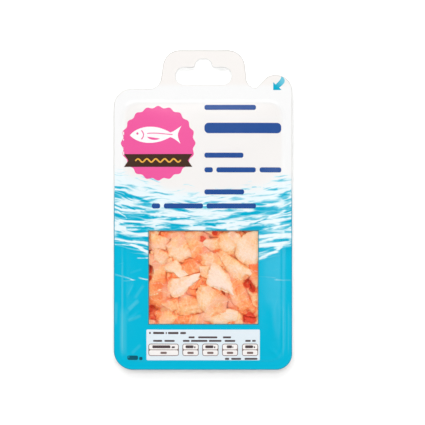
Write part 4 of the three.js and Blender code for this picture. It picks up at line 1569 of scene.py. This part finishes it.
# how a torn piece is meshed and roughened; lengths in millimetres, shares of its reach otherwise
flesh = {
    "sides": 72,
    "rings": (0.1, 0.2, 0.3, 0.4, 0.5, 0.59, 0.67, 0.74, 0.8, 0.86, 0.91, 0.95, 0.98),
    "shredSides": 44,
    "shredRings": (0.2, 0.38, 0.54, 0.68, 0.8, 0.9, 0.96),
    "underRings": (0.97, 0.85, 0.6, 0.3),
    "wear": 0.03,
    "notch": (0.02, 0.13),
    "notchWidth": (0.08, 0.3),
    "relief": 0.7,
    "reliefLength": 8,
    "fold": (0.04, 0.26),
    # painted light and shade: one side of a fold is painted paler and the other darker
    "foldShade": 0.16,
    "crease": 0.45,
    "creaseLength": 11,
    # painted shade in the creases
    "creaseShade": 0.3,
    "grain": 0.09,
    "grainLength": 2.1,
    "foot": 0.22,
    "thinnest": 0.12,
    "limpFrom": 0.25,
    "limp": 0.95,
    "limpPower": 1.4,
    "droop": 4,
    "yield": 0.92,
    # the flank: where it starts, by how much that differs round the piece, and its form and lean
    "knee": 0.78,
    "kneeSway": 0.14,
    "flankPower": 1.7,
    "lean": 0.18,
    "creaseWidth": 0.22,
    "foldWidth": 1.5,
    "grainStretch": 0.4,
    "thin": 2.2,  # pieces under this are worn less
    # painted shade towards the torn edge
    "edgeShade": 0.3,
    "edgePower": 8,
}
# how the heap is packed under the film; lengths in millimetres
packing = {"under": 0.6, "evenOver": 5, "levelOver": 4, "fill": 0.8, "fillUnder": 0.2, "full": 2.4}
# hollows, sunk into the heap and painted deep red as painted shade: place and reach
gapDepth = 1.8
gaps = [
    (-0.5, -19.4, 2.2), (7.6, -15.4, 2), (30.2, -49.4, 3.2), (33.4, -53, 2.4), (-37, -40, 3.2),
    (-37, -46, 2.6), (31.3, -72.6, 4.6), (-36, -67, 3.6),
]
# small torn bits that lie in the hollows between the flakes
shreds = {
    "count": 26,
    "length": (11, 18),
    "width": (8, 12),
    "thick": (1.6, 2.2),
    "room": 1.2,  # the least height that a hollow has for one
    "anywhere": 0.04,  # the chance of lying where there is less
}


def tornShares(flake, draw, cosines, sines):
    shares = edgeShares(flake["outline"], cosines, sines)
    angles = np.arctan2(sines, cosines)
    seed = int(draw.integers(10**6))
    wear = ripple(cosines * 9, sines * 9, 4.5, seed) + 0.5 * ripple(cosines * 9, sines * 9, 1.9, seed + 1)
    shares = shares * (1 + flesh["wear"] * wear)
    for _ in range(draw.integers(*flake["notches"])):
        off = np.angle(np.exp(1j * (angles - draw.uniform(0, 2 * math.pi))))
        depth = draw.uniform(*flesh["notch"])
        width = draw.uniform(*flesh["notchWidth"])
        shares = shares * (1 - depth * np.exp(-((off / width) ** 2)))
    return shares


def flakeSurface(flake, index, sides, rings, skin):
    draw = np.random.default_rng(1000 + index)
    angles = np.linspace(0, 2 * math.pi, sides, endpoint=False)
    cosines, sines = np.cos(angles), np.sin(angles)
    shares = tornShares(flake, draw, cosines, sines)
    rows = [(share, True) for share in (*rings, 1.0)]
    rows += [(share, False) for share in flesh["underRings"]]

    def spread(values, centre, last):  # a value for the middle, each ring and the middle of the underside
        return np.concatenate([[centre]] + values + [[last]])

    out = spread([np.full(sides, share) for share, _ in rows], 0.0, 0.0)
    upper = spread([np.full(sides, top) for _, top in rows], True, False).astype(bool)
    turn = spread([angles for _ in rows], 0.0, 0.0)
    u = spread([share * shares * cosines for share, _ in rows], 0.0, 0.0)
    v = spread([share * shares * sines for share, _ in rows], 0.0, 0.0)
    x, y = placeOn(flake, u, v)
    along, across = u * flake["halfX"], v * flake["halfY"]
    settled = flake["z"] + flake["slopeX"] * (x - flake["x"]) + flake["slopeY"] * (y - flake["y"])
    settled = settled + flake["bend"] * u * u
    # it bends over what stands under it, and its edge hangs down
    towardsEdge = np.clip((out - flesh["limpFrom"]) / (1 - flesh["limpFrom"]), 0, 1)
    limp = flesh["limp"] * towardsEdge ** flesh["limpPower"]
    below = skin.soft(x, y) - settled
    settled = settled + limp * np.clip(below, -flesh["droop"], 0)
    settled = settled + flesh["yield"] * np.clip(below, 0, flesh["droop"])
    # flat on top, with a flank that is broad on one side and narrow on the other
    knee = flesh["knee"] + flesh["kneeSway"] * np.cos(turn - draw.uniform(0, 2 * math.pi))
    fall = np.clip((out - knee) / (1 - knee), 0, 1)
    level = np.where(upper, flesh["foot"] + (1 - flesh["foot"]) * (1 - fall ** flesh["flankPower"]), 0)
    lean = flesh["lean"] * out * np.cos(turn - draw.uniform(0, 2 * math.pi))
    level = np.where(upper, level * (1 + lean), 0)
    z = settled + flake["thick"] * level
    # hollows, a fold and grain are worn into the upper side
    seed = int(draw.integers(10**6))
    relief = 0.5 + 0.3 * ripple(along, across, flesh["reliefLength"], seed)
    crumpled = np.abs(ripple(along, across, flesh["creaseLength"], seed + 2, 5))
    crease = np.exp(-((crumpled / flesh["creaseWidth"]) ** 2)) * flake["crumpled"]
    foldTurn, foldAt = draw.uniform(0, math.pi), draw.uniform(-2, 2)
    beyondFold = along * math.cos(foldTurn) + across * math.sin(foldTurn) - foldAt
    fold = np.abs(beyondFold)
    grain = ripple(along * flesh["grainStretch"], across, flesh["grainLength"], seed + 1)
    thinner = min(1, flake["thick"] / flesh["thin"])
    worn = flesh["relief"] * np.clip(relief, 0, 1.3) + draw.uniform(*flesh["fold"]) * fold
    worn = worn * thinner + flesh["grain"] * (grain + 1) + flesh["crease"] * crease * thinner
    z = np.where(upper, np.maximum(z - worn, settled + flesh["thinnest"]), settled)
    points = np.column_stack((x, y, z))
    rim = points[1:1 + (len(rings) + 1) * sides].reshape(-1, sides, 3)
    skin.lay(np.concatenate((np.broadcast_to(points[0], (1, sides, 3)), rim)))
    # painted light and shade: one side of the fold paler and the other darker, the creases and the torn edge
    # darker
    foldShade = flesh["foldShade"] * np.tanh(beyondFold / flesh["foldWidth"])
    paintedLightAndShade = foldShade - flesh["edgeShade"] * out ** flesh["edgePower"] - flesh["creaseShade"] * crease
    return points, along, across, paintedLightAndShade


def flakeFaces(sides, rows):
    faces = []
    last = 1 + rows * sides
    for i in range(sides):
        following = (i + 1) % sides
        faces.append([0, 1 + i, 1 + following])
        for row in range(rows - 1):
            a, b = 1 + row * sides + i, 1 + row * sides + following
            faces.append([a, a + sides, b + sides, b])
        a, b = 1 + (rows - 1) * sides + i, 1 + (rows - 1) * sides + following
        faces.append([a, last, b])
    return faces


salmonTones = {
    "flesh": [
        (0.0, tint(254, 126, 70)),
        (0.25, tint(255, 162, 102)),
        (0.5, tint(255, 192, 138)),
        (0.75, tint(255, 212, 174)),
        (1.0, tint(255, 224, 205)),
    ],
    "blush": tint(252, 178, 152),
    "golden": tint(254, 206, 138),
    # painted shade: the deep red of the hollows
    "gap": tint(232, 70, 44),
    "fat": tint(255, 236, 218),
    # how strongly each of them covers the flesh
    "blushShare": 0.6,
    "goldenShare": 0.45,
    "fatShare": 0.3,
    "gapShare": 0.9,
    "fatSpacing": 4.6,
    "fatWidth": 0.09,  # in spacings
}


def makeSalmonPaint(name, tones):
    paint = Paint(name)
    spot = paint.place()
    tone, height = paint.attribute("tone"), paint.attribute("height")
    along, across, own = paint.parts(paint.attribute("fibre", "Vector"))
    strands = paint.noise(paint.joined(along * 0.2, across * 0.9, own), 1.0, 4.0, 0.6)
    cloud = paint.noise(spot, 0.16, 3.0, 0.55)
    mottle = paint.noise(spot, 0.6, 4.0, 0.7)
    speckle = paint.noise(spot, 2.2, 2.0, 0.6)
    # painted shade: sloping sides are painted darker orange, points lying lower than what surrounds them
    # darker, and higher ones paler
    flankShade = paint.step(paint.upward(), 0.97, 0.6)
    value = tone * 0.72 + height * 0.26 + (cloud - 0.5) * 0.5 + (strands - 0.5) * 0.4
    value = value + (mottle - 0.5) * 0.8 + (speckle - 0.5) * 0.3 - flankShade * 0.36
    colour = paint.ramp(value, tones["flesh"])
    pale = paint.step(tone, 1.3, 0.6)
    blushing = paint.step(paint.noise(spot, 0.09, 2.0), 0.45, 0.66)
    colour = paint.blend(blushing * tones["blushShare"] * pale, colour, tones["blush"])
    gilding = paint.step(paint.noise(paint.joined(along, across, own), 0.12, 2.0), 0.5, 0.7)
    colour = paint.blend(gilding * tones["goldenShare"] * pale, colour, tones["golden"])
    # pale lines of fat between the layers of flesh
    layer = along / tones["fatSpacing"] + (cloud - 0.5) * 2.2 + own
    line = paint.step(paint.size(paint.reckon("FRACT", layer) - 0.5), tones["fatWidth"], 0.0)
    colour = paint.blend(line * tones["fatShare"] * (1 - flankShade), colour, tones["fat"])
    # painted shade: the hollows are painted deep red
    gap = paint.attribute("gap") + (mottle - 0.5) * 0.6
    colour = paint.blend(paint.step(gap, 0.2, 0.65) * tones["gapShare"], colour, tones["gap"])
    roughness = 0.4 + (mottle - 0.5) * 0.3
    normal = paint.bump(strands * 0.4 + mottle * 0.8 + speckle * 0.1, 0.8, 1.0)
    return paint.finish(
        Base_Color=colour,
        Roughness=roughness,
        Normal=normal,
        Specular_IOR_Level=0.3,
        Subsurface_Weight=0.1,
        Subsurface_Radius=(1.0, 0.4, 0.2),
        Subsurface_Scale=1.5 * mm,
    )


def gaussianBlur(grid, reach):
    count = math.ceil(3 * reach)
    offsets = np.arange(-count, count + 1)
    weights = np.exp(-((offsets / reach) ** 2) / 2)
    weights /= weights.sum()
    for axis in (0, 1):
        widths = [(count, count) if a == axis else (0, 0) for a in (0, 1)]
        padded = np.pad(grid, widths, mode="edge")
        grid = sum(w * np.take(padded, range(i, i + grid.shape[axis]), axis) for i, w in enumerate(weights))
    return grid


def gapShare(x, y):
    share = np.zeros(np.shape(x))
    for gapX, gapY, reach in gaps:
        wavy = reach * (1 + 0.12 * ripple(x, y, 5, 40))
        share = np.maximum(share, np.exp(-((np.hypot(x - gapX, y - gapY) / wavy) ** 4)))
    return share


# fits the heap under the film and fills its hollows from below; returns how far each point stands over
# or under the level of what surrounds it, from -1 to 1
def packUnderFilm(surfaces, skin):
    base, x, y = heap["coreTop"], skin.x, skin.y
    room = pack["flangeTop"] + filmRise(x, y) - heap["clearance"] - packing["under"] - base
    evened = gaussianBlur(skin.heights, packing["evenOver"] / skin.cell) - base
    stretch = np.clip(room / evened, 0.4, 1.6)
    top = base + (skin.heights - base) * stretch
    level = gaussianBlur(top, packing["levelOver"] / skin.cell)
    lift = np.clip(level - packing["fillUnder"] - top, 0, 5) * packing["fill"]
    lift = gaussianBlur(lift, 0.7 / skin.cell)
    squeezed, lifted = round(float(stretch.mean()), 2), round(float(lift.mean()), 2)
    print("the heap is squeezed to", squeezed, "and lifted by", lifted)
    heights = []
    for points, *_ in surfaces:
        px, py = points[:, 0], points[:, 1]
        sunk = gapDepth * gapShare(px, py)
        z = base + (points[:, 2] - base) * skin.read(stretch, px, py) - sunk
        heights.append(np.clip((z - skin.read(level, px, py)) / packing["full"], -1, 1))
        points[:, 2] = pressUnderFilm(px, py, z + skin.read(lift, px, py))
    return np.concatenate(heights)


def scatterShreds(ground):
    found = []
    reachX, reachY = windowPane["halfX"] + 3, windowPane["halfY"] + 3
    while len(found) < shreds["count"]:
        x = windowPane["x"] + dice.between(-reachX, reachX)
        y = windowPane["y"] + dice.between(-reachY, reachY)
        turn = dice.between(0, 2 * math.pi)
        sizes = [dice.between(*shreds[key]) for key in ("length", "width", "thick")]
        chance = dice.roll()
        shred = makeFlake(x, y, turn, *sizes)
        room = pack["flangeTop"] + filmRise(x, y) - heap["clearance"] - ground.at(x, y)
        if room > shreds["room"] or chance < shreds["anywhere"]:
            found.append(shred)
    return found


def joinFlakes(name, heights, tones, surfaces, sides, rows, paint):
    size = len(surfaces[0][0])
    faces = flakeFaces(sides, rows)
    allFaces = [[index + order * size for index in face] for order in range(len(surfaces)) for face in faces]
    points = np.concatenate([surface[0] for surface in surfaces])
    piece = makeMesh(name, points, allFaces, paint, 80)
    addAttribute(piece, "height", heights)
    addAttribute(piece, "gap", gapShare(points[:, 0], points[:, 1]))
    # the tone is each piece's own, plus the painted light and shade of its fold, creases and edge
    addAttribute(piece, "tone", np.repeat(tones, size) + np.concatenate([surface[3] for surface in surfaces]))
    own = np.repeat(np.arange(len(surfaces)) * 7.3, size)
    along = np.concatenate([surface[1] for surface in surfaces])
    across = np.concatenate([surface[2] for surface in surfaces])
    addAttribute(piece, "fibre", np.column_stack((along, across, own)), "FLOAT_VECTOR")
    print(name, len(surfaces), "pieces of flesh")
    return piece


def makeFlakePieces():
    flakes = scatterFlakes()
    ground, skin = Ground(), Skin(coreTop)

    def lay(flakes, first, sides, rings):  # the first one's number seeds its draws
        surfaces = []
        for index, flake in enumerate(flakes, first):
            ground.settle(flake)
            surfaces.append(flakeSurface(flake, index, sides, rings, skin))
        return surfaces

    whole = flesh["sides"], flesh["rings"]
    torn = flesh["shredSides"], flesh["shredRings"]
    draw = np.random.default_rng(7)
    large = lay(flakes, 0, *whole)
    bits = scatterShreds(ground)
    small = lay(bits, 500, *torn)
    shaped = [shapedFlake({"spread": 2.2, **form}) for form in lesserForms]
    shaped += [shapedFlake(form) for form in forms[::-1]]
    showing = lay(shaped, 900, *whole)
    half = layers[0]["columns"] * layers[0]["rows"]
    groups = {
        "salmonFlakesLower": (large[:half], *whole),
        "salmonFlakesUpper": (large[half:] + showing, *whole),
        "salmonShreds": (small, *torn),
    }
    tones = {
        "salmonFlakesLower": draw.uniform(0.3, 0.7, half),
        "salmonFlakesUpper": [
            *draw.uniform(0.3, 0.7, len(large) - half),
            *(flake["tone"] for flake in shaped),
        ],
        "salmonShreds": draw.uniform(0.2, 0.75, len(bits)),
    }
    paint = makeSalmonPaint("salmonFlesh", salmonTones)
    everything = [surface for surfaces, *_ in groups.values() for surface in surfaces]
    heights = packUnderFilm(everything, skin)
    first = 0
    for name, (surfaces, sides, rings) in groups.items():
        last = first + sum(len(surface[0]) for surface in surfaces)
        rows = len(rings) + 1 + len(flesh["underRings"])
        piece = joinFlakes(name, heights[first:last], tones[name], surfaces, sides, rows, paint)
        keep(piece, "salmon", *(["salmon_heap"] if name == "salmonFlakesUpper" else []))
        first = last


makeFlakePieces()
makeCore()
print("salmon made")

# Floor, light and camera

stage = {
    "floorReach": 12,
    "floor": tint(252, 252, 252),
    "floorCloud": tint(250, 250, 250),
    "ambient": 0.64,
    # what the floor gives off by itself: beside the pack, under the hang hole and far away
    "glow": 0.02,
    "holeGlow": 0.3,
    "farGlow": 0.8,
    # the patch under the hang hole, and where the far floor starts and ends, in millimetres
    "patch": {"x": 0.7, "y": 96, "halfX": 46, "halfY": 32},
    "far": (250, 1100),
    # the room, from the floor's level to straight above
    "room": [
        (0.0, tint(196, 196, 196)),
        (0.6, tint(188, 188, 188)),
        (0.84, tint(140, 140, 140)),
        (0.95, tint(40, 40, 40)),
    ],
}
# place in metres, size, the brightness of the panel's face, and whether it shows in glossy surfaces
lamps = {
    "overhead": {"place": (-0.03, 0.24, 1.45), "size": (0.36, 0.5), "glow": 16.2, "shows": False},
    "softboxTop": {"place": (-0.05, 0.75, 1.3), "size": (0.6, 1.1), "glow": 3.6, "shows": True},
    "softboxLeft": {"place": (-0.85, -0.1, 1.05), "size": (0.8, 1.2), "glow": 1.05, "shows": True},
    "softboxRight": {"place": (0.85, -0.1, 1.05), "size": (0.8, 1.2), "glow": 0.95, "shows": True},
    "softboxFront": {"place": (0.1, -1.0, 1.2), "size": (0.8, 1.0), "glow": 0.4, "shows": True},
    "sheenPanel": {"place": (0.52, -0.06, 1.5), "size": (0.4, 0.36), "glow": 2.7, "shows": True},
}
camera = {"x": 6.4, "y": -1.7, "distance": 794, "lens": 100, "sensor": 36}


def makeFloor():
    paint = Paint("studioFloor")
    spot = paint.place()
    cloud = paint.noise(spot, 0.004, 2.0)
    colour = paint.blend(cloud, stage["floor"], stage["floorCloud"])
    x, y, _ = paint.parts(spot)
    patch = stage["patch"]
    across, along = (x - patch["x"]) / patch["halfX"], (y - patch["y"]) / patch["halfY"]
    under = paint.step(across * across + along * along, 1.5, 0.3)
    away = paint.node("ShaderNodeVectorMath", {"operation": "LENGTH"}, {0: spot}, "Value")
    far = paint.step(away, *stage["far"])
    faint, strong, farthest = (grey(stage[key]) for key in ("glow", "holeGlow", "farGlow"))
    light = paint.blend(far, paint.blend(under, faint, strong), farthest)
    glow = {"Emission_Color": light, "Emission_Strength": 1}
    material = paint.finish(Base_Color=colour, Roughness=0.9, **glow)
    reach = stage["floorReach"] / mm
    points = [(-reach, -reach, 0), (reach, -reach, 0), (reach, reach, 0), (-reach, reach, 0)]
    floor = makeMesh("studioFloor", points, [[0, 1, 2, 3]], material)


def makeLamps():
    for name, lamp in lamps.items():
        light = bpy.data.lights.new(name, "AREA")
        light.shape = "RECTANGLE"
        light.size, light.size_y = lamp["size"]
        light.energy = lamp["glow"] * math.pi * light.size * light.size_y
        holder = bpy.data.objects.new(name, light)
        x, y, z = lamp["place"]
        holder.location = (x, y, z)
        # the panel faces the middle of the pack, its long side level
        holder.rotation_euler = (0, math.atan2(math.hypot(x, y), z), math.atan2(y, x))
        holder.visible_camera = False
        holder.visible_glossy = lamp["shows"]
        bpy.context.scene.collection.objects.link(holder)


# the room is dark straight above, so that the flat film doesn't look milky, and bright lower down
def makeRoom():
    world = bpy.data.worlds.new("studio")
    paint = Paint("studio", world)
    _, _, up = paint.parts(paint.node("ShaderNodeTexCoord", output="Generated"))
    glow = paint.ramp(up, stage["room"])
    shader = paint.node("ShaderNodeBackground", None, {"Color": glow, "Strength": stage["ambient"]})
    paint.node("ShaderNodeOutputWorld", None, {"Surface": shader})
    bpy.context.scene.world = world


def makeCamera():
    eye = bpy.data.cameras.new("camera")
    eye.lens = camera["lens"]
    eye.sensor_width = camera["sensor"]
    eye.clip_end = 20
    holder = bpy.data.objects.new("camera", eye)
    holder.location = (camera["x"] * mm, camera["y"] * mm, (camera["distance"] + pack["flangeTop"]) * mm)
    bpy.context.scene.collection.objects.link(holder)
    bpy.context.scene.camera = holder


makeFloor()
makeLamps()
makeRoom()
makeCamera()
bpy.context.scene.view_settings.view_transform = "Standard"
print("stage made")
